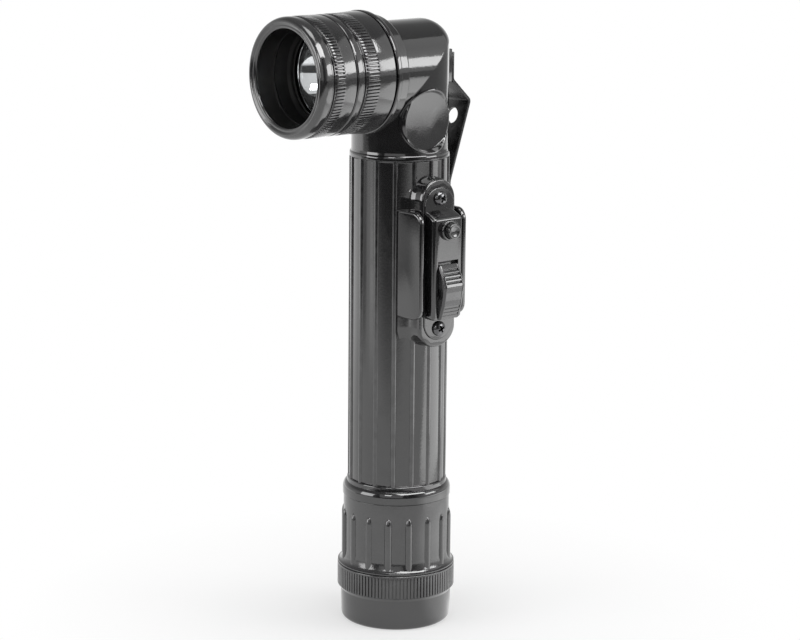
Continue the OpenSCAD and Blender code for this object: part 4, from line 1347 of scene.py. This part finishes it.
@dataclass
class Lamp:
    """The reflector, the bulb and the lens."""

    mirror_r: float = 11.2
    mirror_high: float = 22.62
    mirror_bend: float = 0.052
    hole_r: float = 4.5
    wall: float = 0.8
    bulb_t: float = 9.15
    base_r: float = 4.0
    flange_r: float = 5.5
    glass_r: float = 3.9
    glass_low: float = 9.75
    glass_len: float = 9.9
    glass_wall: float = 0.4
    bead_r: float = 1.6
    bead_top: float = 11.3
    post_x: float = 1.0
    post_r: float = 0.18
    coil_t: float = 14.0
    coil_turns: int = 13
    coil_half: float = 1.1
    lens_r: float = 12.25
    lens_t: Point = (22.82, 24.62)

    def dish(self, radius: float) -> float:
        """Gives how far forward the mirror is at a radius."""
        return self.mirror_high - self.mirror_bend * (self.mirror_r ** 2 - radius ** 2)

    def reflector(self) -> Form:
        """Turns the mirror's dish with its rim and its sleeve.

        Returns:
            The reflector.
        """
        steps = 40
        radii = [self.hole_r + (self.mirror_r - self.hole_r) * i / steps for i in range(steps + 1)]
        face: list[Corner] = [(r, self.dish(r)) for r in radii]
        back: list[Corner] = [(r + 0.2, self.dish(r) - 0.4) for r in reversed(radii[1:-4])]
        high = self.lens_t[0]
        low = high - self.wall
        sleeve = self.hole_r + self.wall
        form = Form().lathe([
            (self.hole_r, self.glass_low), *face, (self.mirror_r, high), (self.lens_r, high),
            (self.lens_r, low), (self.mirror_r - 0.1, low), *back, (sleeve, self.dish(self.hole_r) - 0.3),
            (sleeve, self.glass_low)], FINE)
        return form.stand(Stand.HEAD)

    def glass(self) -> Form:
        """Turns the bulb's glass with its round end.

        Returns:
            The glass.
        """
        top = self.glass_low + self.glass_len
        thin = self.glass_r - self.glass_wall
        outside = bead(self.glass_r, top, self.glass_r, self.glass_r, 90, 16)
        inside = bead(thin, top - self.glass_wall, thin, thin, 90, 16)[::-1]
        line = [(thin, self.glass_low), (self.glass_r, self.glass_low), *outside, *inside]
        return Form().lathe(line, PLAIN).stand(Stand.HEAD)

    def base(self) -> Form:
        """Turns the bulb's metal base with its solder tip.

        Returns:
            The base.
        """
        r = self.base_r
        form = Form().lathe([
            (0, 2.4), (0.9, 2.4, 0.5), (1.5, 3.2, 0.2), (2.6, 3.6, 0.3), (r, 4.8, 0.5), (r, 6.2, 0.2),
            (r - 0.15, 6.5, 0.2), (r, 6.8, 0.2), (r, self.bulb_t, 0.1), (self.flange_r, self.bulb_t, 0.2),
            (self.flange_r, self.glass_low, 0.2), (0, self.glass_low)], PLAIN)
        return form.stand(Stand.HEAD)

    def filament(self) -> Form:
        """Makes the bead, the two posts and the coiled wire between them.

        Returns:
            The filament.
        """
        r = self.bead_r
        form = Form().lathe([(0, self.glass_low), (r, self.glass_low, 0.1), (r, self.bead_top, 0.6),
                             (0, self.bead_top)], 32)
        tip = self.coil_t + 0.1
        for x in (-self.post_x, self.post_x):
            post = Form().lathe([(0, 10.6), (self.post_r, 10.6), (self.post_r, tip, 0.1), (0, tip)], 12)
            form.join(post.shift(x, 0, 0))
        rise = 2 * self.coil_half / self.coil_turns
        coil = Form().wind(hoop((0.16, 0.0), 0.05, 6), [(self.coil_turns, rise)], 12)
        form.join(coil.stand(Stand.SWITCH, (-self.coil_half, 0, self.coil_t)))
        return form.stand(Stand.HEAD)

    def lens(self) -> Form:
        """Turns the lens, a plain disc with a soft edge."""
        return Form().rod(self.lens_r, *self.lens_t, 128, 0.2).stand(Stand.HEAD)

    def build(self, dresser: Dresser) -> None:
        """Builds and dresses the lamp.

        Args:
            dresser: What finishes the pieces.
        """
        dresser.piece(self.reflector(), "reflector_dish", CHROME, "case", "reflector", 50)
        dresser.piece(self.glass(), "bulb_glass_dome", BULB_GLASS, "case", "bulb_glass", 50)
        dresser.piece(self.base(), "bulb_base_cap", BRASS, "case", "bulb_base")
        dresser.piece(self.filament(), "bulb_filament_coil", BRIGHT_STEEL, "case", "bulb_filament")
        dresser.piece(self.lens(), "lens_disc", LENS_CLEAR, "lens_carrier", "lens")


@dataclass
class Switch:
    """The switch cover, its screws, the slide's thumb and the signal button."""

    flange_x: Point = (14.9, 15.6)
    face_x: float = 19.0
    inner_x: float = 18.0
    cover_half: float = 4.75
    cover_z: Point = (82.0, 109.2)
    cover_round: float = 1.0
    cover_bevel: float = 0.9
    wall: float = 1.0
    flange_z: Point = (76.3, 114.9)
    window_half: float = 3.35
    window_top: float = 96.9
    screw_z: Point = (79.1, 112.1)
    screw_turns: Point = (24.0, 62.0)
    screw_r: float = 1.92
    shank_r: float = 1.0
    shank_len: float = 3.7
    dome: Point = (0.3, 1.05)
    slot: Point = (1.3, 0.3)
    thumb_half: float = 3.2
    thumb_z: Point = (82.2, 96.1)
    cheek: float = 0.7
    peak_z: float = 90.6
    peak_x: float = 21.9
    low_lines: tuple[float, ...] = (0.18, 0.31, 0.44)
    high_lines: tuple[float, ...] = (0.2, 0.38, 0.56, 0.74)
    carrier: tuple[tuple[Place, Place], ...] = (((16.5, -3.65, 86.7), (17.9, 3.65, 100.8)),
                                                ((11.6, -2.0, 88.3), (16.6, 2.0, 92.3)))
    button_z: float = 104.6
    button_r: float = 1.95
    button_top: float = 21.5
    button_dish: Point = (1.4, 0.28)
    collar_r: float = 2.45
    collar_x: Point = (17.1, 17.9)
    pin_r: float = 0.8
    pin_x: float = 12.7
    bush_r: float = 2.6
    bush_out: float = 0.9
    spring_r: float = 1.7
    spring_wire: float = 0.14
    spring_x: float = 13.85

    def cover(self) -> Form:
        """Makes the cover's box, hollowed, and its flange.

        Returns:
            The cover.
        """
        low, high = self.cover_z
        foot, rim = self.flange_x
        half = self.cover_half
        soft = self.cover_round
        outline = rounded([(foot, low), (self.face_x, low, soft), (self.face_x, high - 1.6, soft),
                           (foot, high + 0.33)], True, 6)
        box = Form().plate(outline, 2 * half, self.cover_bevel, self.cover_bevel, 6)
        box.stand(Stand.FRONT_PLATE, (0, half, 0))
        inner = half - self.wall
        room = Form().plate([(foot - 1, low + 1), (self.inner_x, low + 1), (self.inner_x, high - 2.05),
                             (foot - 1, high - 1.2)], 2 * inner)
        room.stand(Stand.FRONT_PLATE, (0, inner, 0))
        window = Form().block((self.inner_x - 0.05, -self.window_half, low - 1),
                              (self.face_x + 1, self.window_half, self.window_top))
        hole = Form().rod(self.bush_r - 0.4, 10, 25, 48).stand(Stand.SWITCH, (0, 0, self.button_z))
        box.carve(room, window, hole)
        flange = Form().plate(stadium(half, *self.flange_z), rim - foot, 0.0, 0.22, 3)
        flange.stand(Stand.SIDE_PLATE, (foot, 0, 0))
        flange.carve(Form().block((foot - 1, -inner, low + 1.05), (rim + 1, inner, high - 1.2)))
        return box.join(flange)

    def screw(self, z: float, turn: float) -> Form:
        """Makes one pan-head screw with a cross recess.

        Args:
            z: Its height on the barrel.
            turn: Turn of its cross, in degrees.

        Returns:
            The screw.
        """
        seat = self.flange_x[1]
        tip = seat - self.shank_len
        rim, tall = self.dome
        head = Form().lathe([
            (0, tip), (self.shank_r, tip, 0.3), (self.shank_r, seat), (self.screw_r, seat, 0.1),
            *bead(self.screw_r, seat + rim + tall, self.screw_r, tall)], 48)
        arms = []
        reach, half = self.slot
        for angle in (turn, turn + 90):
            arm = Form().block((-reach, -half, seat + 0.3), (reach, half, seat + 2))
            low = [v for v in arm.bm.verts if v.co.z < seat + 1]
            bmesh.ops.scale(arm.bm, vec=(0.45, 0.7, 1.0), verts=low)
            arms.append(arm.move(Matrix.Rotation(math.radians(angle), 4, "Z")))
        return head.carve(*arms).stand(Stand.SWITCH, (0, 0, z))

    def thumb(self) -> Form:
        """Makes the slide's thumb, a grooved middle between smooth cheeks, and the carrier under it.

        Returns:
            The thumb.
        """
        half = self.thumb_half
        inset = half - self.cheek
        low, high = self.thumb_z
        inner = self.inner_x + 0.1
        brow = (self.peak_x, self.peak_z, 0.6)
        smooth = rounded([
            (inner, low), self.chin(0.0) + (0.6,), self.chin(0.5) + (4.0,), self.chin(1.0) + (1.5,), brow,
            self.ramp(0.5) + (4.0,), self.ramp(1.0) + (0.6,), (inner, high)], True)
        line = [self.chin(0.0) + (0.4,)]
        for share in self.low_lines:
            line += self.notch(self.chin, share, 0.05, 0.17, 0.3)
        line += [self.chin(0.7) + (4.0,), self.chin(1.0) + (1.5,), brow]
        for share in self.high_lines:
            line += self.notch(self.ramp, share, 0.055, 0.4, 0.1)
        line.append(self.ramp(1.0) + (0.4,))
        sunk = [(p[0] - 0.12, *p[1:]) for p in line]
        grooved = rounded([(inner, low + 0.1), *sunk, (inner, high - 0.1)], True)
        form = Form().plate(grooved, 2 * inset + 0.1).stand(Stand.FRONT_PLATE, (0, inset + 0.05, 0))
        for side, near, bevels in ((1, half, (0.55, 0.1)), (-1, -inset, (0.1, 0.55))):
            cheek = Form().plate(smooth, half - inset, *bevels, 4).stand(Stand.FRONT_PLATE, (0, near, 0))
            scoop = Form().lathe([(0, -0.45), (1.3, -0.45, 0.4), (1.6, 1.0), (0, 1.0)], 40)
            scoop.move(Matrix.Rotation(-side * math.pi / 2, 4, "X"))
            cheek.carve(scoop.shift(self.face_x + 0.5, side * half, self.peak_z - 1.8))
            form.join(cheek)
        for corners in self.carrier:
            form.join(Form().block(*corners, 0.2, 2))
        base = self.carrier[0][0][2]
        return form.join(Form().block((self.inner_x - 0.2, -half + 0.1, base),
                                     (self.inner_x + 0.3, half - 0.1, high - 0.1)))

    def chin(self, share: float) -> Point:
        """Gives a point on the thumb's lower face, from its foot up to below the brow.

        Args:
            share: How far up the face it is.

        Returns:
            The point, along x and z.
        """
        run = self.peak_x - self.face_x - 1.05
        bulge = 1.2 * share * (1 - share)
        rise = self.peak_z - 1.3 - self.thumb_z[0]
        return self.face_x + 0.7 + run * share + bulge, self.thumb_z[0] + rise * share

    def ramp(self, share: float) -> Point:
        """Gives a point on the thumb's ramp, from the brow up to its top edge.

        Args:
            share: How far up the ramp it is.

        Returns:
            The point, along x and z.
        """
        run = self.face_x + 0.35 - self.peak_x
        crown = 0.9 * share * (1 - share)
        return self.peak_x + run * share + crown, self.peak_z + (self.thumb_z[1] - self.peak_z) * share

    def notch(self, face: Callable[[float], Point], share: float, half: float, deep: float,
              soft: float) -> list[Corner]:
        """Gives the corners of one groove across the thumb.

        Args:
            face: The face that it is cut in.
            share: Where its middle is along the face.
            half: Half its width, as a share of the face.
            deep: Its depth.
            soft: Radius of its corners.

        Returns:
            The corners.
        """
        x, z = face(share)
        return [face(share - half) + (soft,), (x - deep, z, 1.4 * soft), face(share + half) + (soft,)]

    def button(self) -> Form:
        """Turns the signal button with its flange and stem.

        Returns:
            The button.
        """
        low, high = self.collar_x
        top = self.button_top
        reach, deep = self.button_dish
        dish = [(reach * (1 - 0.1 * i), top - deep * (1 - (1 - 0.1 * i) ** 2)) for i in range(11)]
        form = Form().lathe([
            (0, self.pin_x), (self.pin_r, self.pin_x), (self.pin_r, low), (self.collar_r, low, 0.1),
            (self.collar_r, high, 0.1), (self.button_r, high), (self.button_r, top, 0.45), *dish], 64)
        return form.stand(Stand.SWITCH, (0, 0, self.button_z))

    def bush(self) -> Form:
        """Turns the collar that guides the button.

        Returns:
            The bush.
        """
        bore = self.button_r + 0.05
        sleeve = 2.17
        rim = self.face_x + self.bush_out
        form = Form().lathe([
            (bore, self.inner_x), (sleeve, self.inner_x), (sleeve, self.face_x),
            (self.bush_r, self.face_x, 0.05), (self.bush_r, rim, 0.3), (bore, rim, 0.2)], 64)
        return form.stand(Stand.SWITCH, (0, 0, self.button_z))

    def spring(self) -> Form:
        """Winds the button's return spring with closed ends.

        Returns:
            The spring.
        """
        wire = self.spring_wire
        form = Form().wind(hoop((self.spring_r, wire), wire, 8), [(0.75, 0.24), (2.0, 1.25), (0.75, 0.24)])
        return form.stand(Stand.SWITCH, (self.spring_x, 0, self.button_z))

    def build(self, dresser: Dresser) -> None:
        """Builds and dresses the switch.

        Args:
            dresser: What finishes the pieces.
        """
        dresser.piece(self.cover(), "switch_cover_box", GLOSS, "case", "switch_cover")
        lower, upper = (self.screw(z, turn) for z, turn in zip(self.screw_z, self.screw_turns))
        dresser.piece(lower.join(upper), "switch_cross_screws", DARK_STEEL, "case", "switch_screws")
        dresser.piece(self.thumb(), "slide_switch_thumb", CONTROL, "slider", "slide_switch")
        dresser.piece(self.button(), "signal_button_pin", GLOSS, "button", "signal_button")
        dresser.piece(self.bush(), "button_bush_collar", GLOSS, "case", "button_bush")
        spring = dresser.piece(self.spring(), "button_spring_coil", BRIGHT_STEEL, "case", "button_spring")
        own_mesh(spring)


@dataclass
class BeltClip:
    """The folded clip and its rivets."""

    points: tuple[Corner, ...] = ((13.3, 146.6), (13.3, 139.6, 1.6), (19.2, 134.0, 1.2), (13.17, 113.0, 5.0),
                                  (14.57, 108.4))
    half: float = 5.0
    tip_half: float = 4.0
    thick: float = 0.8
    bevel: float = 0.16
    hole: Point = (17.958, 129.675)
    hole_r: float = 2.05
    rivet_x: float = 2.6
    rivet_z: float = 143.1
    rivet_r: float = 1.6
    shank_r: float = 0.9
    seat: float = 13.7

    def strip(self) -> Form:
        """Folds the strip, tapers its blade and cuts its hanging hole.

        Returns:
            The strip.
        """
        line = [Vector(p) for p in rounded(self.points, False, 8)]
        left: list[Point] = []
        right: list[Point] = []
        for place, point in enumerate(line):
            run = (line[min(place + 1, len(line) - 1)] - line[max(place - 1, 0)]).normalized()
            side = Vector((-run.y, run.x)) * self.thick / 2
            left.append(tuple(point + side))
            right.append(tuple(point - side))
        form = Form().plate(left + right[::-1], 2 * self.half, self.bevel, self.bevel, 2)
        form.stand(Stand.SIDE_PLATE, (-self.half, 0, 0))
        bend = self.points[2][1]
        tip = self.points[4][1]
        for vert in form.bm.verts:
            share = min(max((bend - vert.co.z) / (bend - tip), 0.0), 1.0)
            vert.co.x *= 1 - share * (1 - self.tip_half / self.half)
        run = Vector(self.points[3][:2]) - Vector(self.points[2][:2])
        tilt = math.atan2(-run.x, -run.y)
        hole = Form().rod(self.hole_r, -3, 3, 64)
        hole.move(Matrix.Translation((0, *self.hole)) @ Matrix.Rotation(math.pi / 2 - tilt, 4, "X"))
        return form.carve(hole)

    def rivets(self) -> Form:
        """Turns the two domed rivets.

        Returns:
            Both rivets.
        """
        form = Form()
        seat = self.seat
        for x in (-self.rivet_x, self.rivet_x):
            rivet = Form().lathe([
                (0, seat - 3.4), (self.shank_r, seat - 3.4), (self.shank_r, seat), (self.rivet_r, seat, 0.05),
                (self.rivet_r, seat + 0.25, 0.15), (1.0, seat + 0.7, 0.4), (0, seat + 0.8)], 40)
            form.join(rivet.stand(Stand.BACK, (x, 0, self.rivet_z)))
        return form

    def build(self, dresser: Dresser) -> None:
        """Builds and dresses the clip."""
        dresser.piece(self.strip(), "belt_clip_strip", CLIP_COAT, "case", "clip")
        dresser.piece(self.rivets(), "belt_clip_rivets", CLIP_COAT, "case", "clip_rivets")


@dataclass
class Tail:
    """The tail cap, the foot cap, the tail spring and the cells."""

    cap_r: float = 13.65
    flare_r: float = 15.05
    flare_z: Point = (0.4, 3.7)
    low: float = 14.9
    top: float = 33.2
    floor_z: Point = (7.5, 9.3)
    cup_r: float = 11.35
    cup_top: float = 23.3
    thread_bore_r: float = 12.2
    mouth_r: float = 13.0
    mouth_z: float = 32.4
    thread_r: Point = (12.65, 13.08)
    thread_top: float = 14.2
    rib_count: int = 16
    rib_turn: float = -4.0
    rib_r: float = 1.0
    rib_out: float = 0.62
    rib_top: float = 29.7
    rib_tip: float = 2.5
    foot_r: float = 14.25
    foot_h: float = 8.1
    foot_top: float = 14.8
    foot_floor: float = 2.15
    foot_well_r: float = 11.75
    foot_bore_r: float = 13.15
    foot_seat_r: float = 13.95
    foot_seat_z: float = 14.2
    foot_step_z: float = 7.1
    knurl_r: float = 15.15
    knurl_deep: float = 0.46
    spring_r: float = 5.0
    spring_wire: float = 0.45
    spring_z: float = 10.15
    cell_r: float = 7.1
    cell_len: float = 50.5
    cell_low: float = 22.0
    nub_r: float = 2.6

    def cap(self) -> Form:
        """Turns the tail cap, with ribs and the foot cap's thread.

        Returns:
            The cap.
        """
        near, far = self.flare_z
        wide = self.flare_r - self.cap_r
        flare = [(self.flare_r - wide * z, self.low + far - (far - near) * x)
                 for x, z in arc((0.0, 0.0), 1.0, 90, 0, 12)]
        core, crest = self.thread_r
        under, floor = self.floor_z
        form = Form().lathe([
            (0, floor), (self.cup_r, floor, 0.4), (self.cup_r, self.cup_top),
            (self.thread_bore_r, self.cup_top), (self.thread_bore_r, self.mouth_z),
            (self.mouth_r, self.mouth_z), (self.mouth_r, self.top), (self.cap_r, self.top, 0.1), *flare,
            (self.flare_r, self.low, 0.25), (crest, self.low), (crest, self.thread_top),
            (core, self.thread_top - 0.3),
            (core, under, 0.3), (0, under)], FINE)
        form.join(Form().thread(core, crest, under + 0.3, self.thread_top - 0.2))
        foot = self.low + 0.8
        rib = Form().lathe([(0, foot), (self.rib_r, foot),
                            *bead(self.rib_r, self.rib_top, self.rib_r, self.rib_tip, 90, 12)], 32)
        rib.shift(self.cap_r + self.rib_out - self.rib_r, 0, 0)
        return form.join(rib.repeat(self.rib_count, self.rib_turn))

    def foot(self) -> Form:
        """Turns the foot cap with its knurl.

        Returns:
            The foot cap.
        """
        land = self.knurl_r - 0.36
        top = self.foot_top
        high = self.foot_h
        form = Form().lathe([
            (0, 0), (self.foot_r - 0.2, 0, 1.2), (self.foot_r + 0.05, high - 0.3, 0.4),
            (land, high + 0.5, 0.2), (land, top - 0.62), (self.knurl_r, top - 0.55, 0.1),
            (self.knurl_r, top, 0.25), (self.foot_seat_r, top), (self.foot_seat_r, self.foot_seat_z),
            (self.foot_bore_r, self.foot_seat_z), (self.foot_bore_r, self.foot_step_z),
            (self.foot_well_r, self.foot_step_z),
            (self.foot_well_r, self.foot_floor, 0.1), (0, self.foot_floor)], FINE)
        return form.join(knurl(self.knurl_r, high + 0.35, top - 0.3, (0.45, 0.0), deep=self.knurl_deep))

    def spring(self) -> Form:
        """Winds the tail spring with closed ends."""
        section = hoop((self.spring_r, self.spring_z), self.spring_wire, 12)
        return Form().wind(section, [(1.0, 0.95), (3.0, 9.5 / 3), (1.0, 0.95)], 40)

    def cell(self, low: float) -> Form:
        """Turns one cell with its crimped ends and contact button.

        Args:
            low: Height of its lower end.

        Returns:
            The cell.
        """
        r = self.cell_r
        nub = self.nub_r
        top = low + self.cell_len
        return Form().lathe([
            (0, low), (4.2, low, 0.2), (4.5, low + 0.25, 0.2), (6.2, low + 0.25, 0.2), (r, low + 0.5, 0.3),
            (r, top - 1.4, 0.4), (6.3, top - 1.2, 0.2), (5.6, top - 1.35, 0.15), (3.2, top - 1.35, 0.15),
            (nub, top - 1.2, 0.1), (nub, top, 0.35), (0, top)], PLAIN)

    def build(self, dresser: Dresser) -> None:
        """Builds and dresses the tail.

        Args:
            dresser: What finishes the pieces.
        """
        dresser.piece(self.cap(), "tail_cap_ribbed", SATIN, "tail_cap", "tail_cap")
        dresser.piece(self.foot(), "foot_cap_knurled", SATIN, "foot_cap", "foot_cap")
        dresser.piece(self.spring(), "tail_spring_coil", BRIGHT_STEEL, "tail_carrier", "tail_spring")
        for node, low, finish in (("lower_cell", self.cell_low, LOWER_CAN),
                                  ("upper_cell", self.cell_low + self.cell_len, UPPER_CAN)):
            dresser.piece(self.cell(low), node + "_can", finish, "case", node)


@dataclass
class Lamphouse:
    """One soft lamp of the studio."""

    name: str
    place: Place
    aim: Place
    size: Point
    radiance: float
    roll: float = 0.0
    glints: bool = False

    def build(self) -> None:
        """Makes the lamp, which the camera does not see, and which may light nothing but glints."""
        data = bpy.data.lights.new(self.name, "AREA")
        data.shape = "RECTANGLE"
        data.size, data.size_y = self.size
        data.energy = self.radiance * math.pi * self.size[0] * self.size[1]
        lamp = bpy.data.objects.new(self.name, data)
        bpy.context.scene.collection.objects.link(lamp)
        toward = Vector(self.aim) - Vector(self.place)
        turn = toward.to_track_quat("-Z", "Y").to_matrix().to_4x4()
        roll = Matrix.Rotation(math.radians(self.roll), 4, "Z")
        lamp.matrix_world = Matrix.Translation(self.place) @ turn @ roll
        lamp.visible_camera = False
        lamp.visible_diffuse = not self.glints


@dataclass
class Studio:
    """Floor, lamps, surround and camera, in metres."""

    lamps: list[Lamphouse] = field(default_factory=lambda: [
        Lamphouse("softbox behind right", (0.572, 0.473, 0.332), (0, 0, 0.14), (0.37, 0.21), 6.4),
        Lamphouse("wall behind right", (0.75, 1.0, 1.05), (0, 0, 0.14), (1.3, 0.8), 0.7),
        Lamphouse("overhead", (0.05, -0.05, 0.95), (0, 0, 0.08), (0.42, 0.42), 4.5),
        Lamphouse("front left", (-0.28, -0.95, 0.36), (0, 0, 0.12), (0.55, 0.55), 4.0),
        Lamphouse("low right", (0.276, 0.329, 0.004), (0.276, 0.329, 1.0), (0.5, 0.26), 1.65, -50.0),
        Lamphouse("upper right", (0.6, 0.04, 0.9), (0, 0, 0.1), (0.95, 0.42), 9.0, glints=True),
        Lamphouse("glint over the camera", (0.47, -0.78, 0.62), (0, 0, 0.1), (0.24, 0.24), 7.0, glints=True),
        Lamphouse("over the camera", (0.6, -0.76, 0.5), (0, -0.02, 0.14), (0.95, 0.85), 0.7),
    ])
    eye: Place = (0.480096, -0.411055, 0.216644)
    right: Place = (0.649518, 0.760294, 0.008931)
    up: Place = (-0.167946, 0.132, 0.976919)
    lens: float = 114.046
    front: Place = (0.76, -0.65, 0.0)
    # Directions and sectors of the floor's painted reflection, which only reflections see: darker in front,
    # dimmer to the right, brighter to the left, a dark gap, a bright glare and a bright near flank.
    reflected_dark_front: Place = (0.5, -0.87, 0.0)
    reflected_dim_right: Place = (0.72, 0.69, 0.0)
    reflected_bright_left: Place = (-1.0, 0.0, 0.0)
    gap: Point = (-136.0, -122.0)
    glare: Point = (-111.0, -95.0)
    flank: Point = (12.0, 75.0)
    floor_tone: float = 0.86
    floor_half: float = 6000.0

    def surround(self) -> None:
        """Makes the surround white for what sees it, dimmer overhead and in front as reflections see it."""
        world = bpy.data.worlds.new("surround")
        bpy.context.scene.world = world
        world.use_nodes = True
        world.node_tree.nodes.clear()
        sheet = Sheet(world.node_tree)
        place = sheet.add("ShaderNodeTexCoord").outputs["Generated"]
        height = sheet.add("ShaderNodeSeparateXYZ", {"Vector": place}).outputs["Z"]
        high = sheet.spread(height, 1.0, 0.3, 0.1, 0.6)
        front = sheet.spread(sheet.along(place, self.front), 1.0, 0.1, 0.45, 0.75)
        strength = self.by_ray(sheet, 0.5, sheet.times(high, front))
        seen = sheet.add("ShaderNodeBackground", {"Color": (1, 1, 1, 1), "Strength": strength})
        sheet.add("ShaderNodeOutputWorld", {"Surface": seen.outputs[0]})

    def by_ray(self, sheet: Sheet, light: float, mirrored: Socket) -> Socket:
        """Gives a strength by the kind of ray: white to the eye and through glass, and otherwise as told.

        Args:
            sheet: The node tree.
            light: Strength for the rays that light the scene.
            mirrored: Strength for the rays that reflections see.

        Returns:
            The strength's socket.
        """
        path = sheet.add("ShaderNodeLightPath").outputs
        eye = sheet.reckon("MAXIMUM", path["Is Camera Ray"], path["Is Transmission Ray"])
        ends = {0: path["Is Glossy Ray"], 2: sheet.spread(eye, light, 1.0), 3: mirrored}
        return sheet.add("ShaderNodeMix", ends, data_type="FLOAT").outputs[0]

    def mirrored_floor(self, sheet: Sheet, place: Socket, distance: Socket) -> Socket:
        """Gives the floor's painted reflection: how bright the floor is as reflections see it, darker in
        front and to the right, brighter to the left, in the glare sector and on the near right flank.

        Args:
            sheet: The floor's node tree.
            place: The place's socket.
            distance: Socket of its distance from the flashlight.

        Returns:
            The brightness's socket.
        """
        near = sheet.spread(sheet.along(place, self.reflected_dark_front), 1.15, 0.06, 0.32, 0.46)
        right = sheet.spread(sheet.along(place, self.reflected_dim_right), 1.0, 0.38, 0.5, 0.62)
        left = sheet.spread(sheet.along(place, self.reflected_bright_left), 1.0, 1.4, 0.25, 0.4)
        far = sheet.spread(distance, 0.0, 0.62, 0.34, 0.42)
        close = sheet.spread(distance, 1.0, 0.0, 0.14, 0.2)
        gap = sheet.times(sheet.sector(place, *self.gap), far)
        glare = sheet.times(sheet.sector(place, *self.glare), far)
        flank = sheet.times(sheet.sector(place, *self.flank, 12.0), close)
        dim = sheet.times(sheet.times(near, right), sheet.times(left, sheet.spread(gap, 1.0, 0.0)))
        return sheet.times(dim, sheet.times(sheet.spread(glare, 1.0, 2.0), sheet.spread(flank, 1.0, 1.9)))

    def floor(self) -> None:
        """Makes the pale floor, which keeps the shadow near the flashlight and turns white away from it."""
        tone = self.floor_tone
        fixed = {"Base Color": (tone, tone, tone, 1), "Roughness": 0.9, "Specular IOR Level": 0.1}
        material, sheet, main, place = shader("pale floor", fixed)
        distance = sheet.add("ShaderNodeVectorMath", {"Vector": place}, operation="LENGTH").outputs["Value"]
        away = sheet.spread(distance, 0.5, 1.0, 0.02, 0.1)
        strength = self.by_ray(sheet, 0.0, self.mirrored_floor(sheet, place, distance))
        glow = sheet.add("ShaderNodeEmission", {"Color": (1, 1, 1, 1), "Strength": strength})
        diffuse = sheet.add("ShaderNodeLightPath").outputs["Is Diffuse Ray"]
        amount = sheet.reckon("SUBTRACT", away, diffuse, True)
        blend = sheet.add("ShaderNodeMixShader", {0: amount, 1: main.outputs["BSDF"], 2: glow.outputs[0]})
        out = next(n for n in material.node_tree.nodes if n.type == "OUTPUT_MATERIAL")
        sheet.feed(out.inputs["Surface"], blend.outputs[0])
        form = Form()
        bmesh.ops.create_grid(form.bm, x_segments=2, y_segments=2, size=self.floor_half)
        made = form.finish("floor")
        made.data.materials.append(material)

    def camera(self) -> None:
        """Sets the camera at the photograph's viewing angle."""
        data = bpy.data.cameras.new("camera")
        data.lens = self.lens
        data.sensor_width = 36.0
        data.clip_start = 0.01
        data.clip_end = 50.0
        camera = bpy.data.objects.new("camera", data)
        bpy.context.scene.collection.objects.link(camera)
        right = Vector(self.right).normalized()
        back = right.cross(Vector(self.up)).normalized()
        turn = Matrix((right, back.cross(right), back)).transposed().to_4x4()
        camera.matrix_world = Matrix.Translation(self.eye) @ turn
        bpy.context.scene.camera = camera

    def build(self) -> None:
        """Sets up the studio."""
        bpy.context.scene.view_settings.view_transform = "Standard"
        self.surround()
        self.floor()
        for lamp in self.lamps:
            lamp.build()
        self.camera()


def write_sizes() -> None:
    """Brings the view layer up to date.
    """
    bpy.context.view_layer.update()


def main() -> None:
    """Builds the flashlight's pieces in order, then the studio."""
    logging.basicConfig(level=logging.INFO, format="%(name)s: %(message)s")
    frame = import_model()
    dresser = Dresser()
    dresser.carry(frame["nodes"])
    for part in (CaseMoulding(), HeadRings(), Lamp(), Switch(), BeltClip(), Tail()):
        part.build(dresser)
    Studio().build()
    write_sizes()


if __name__ == "__main__":
    main()
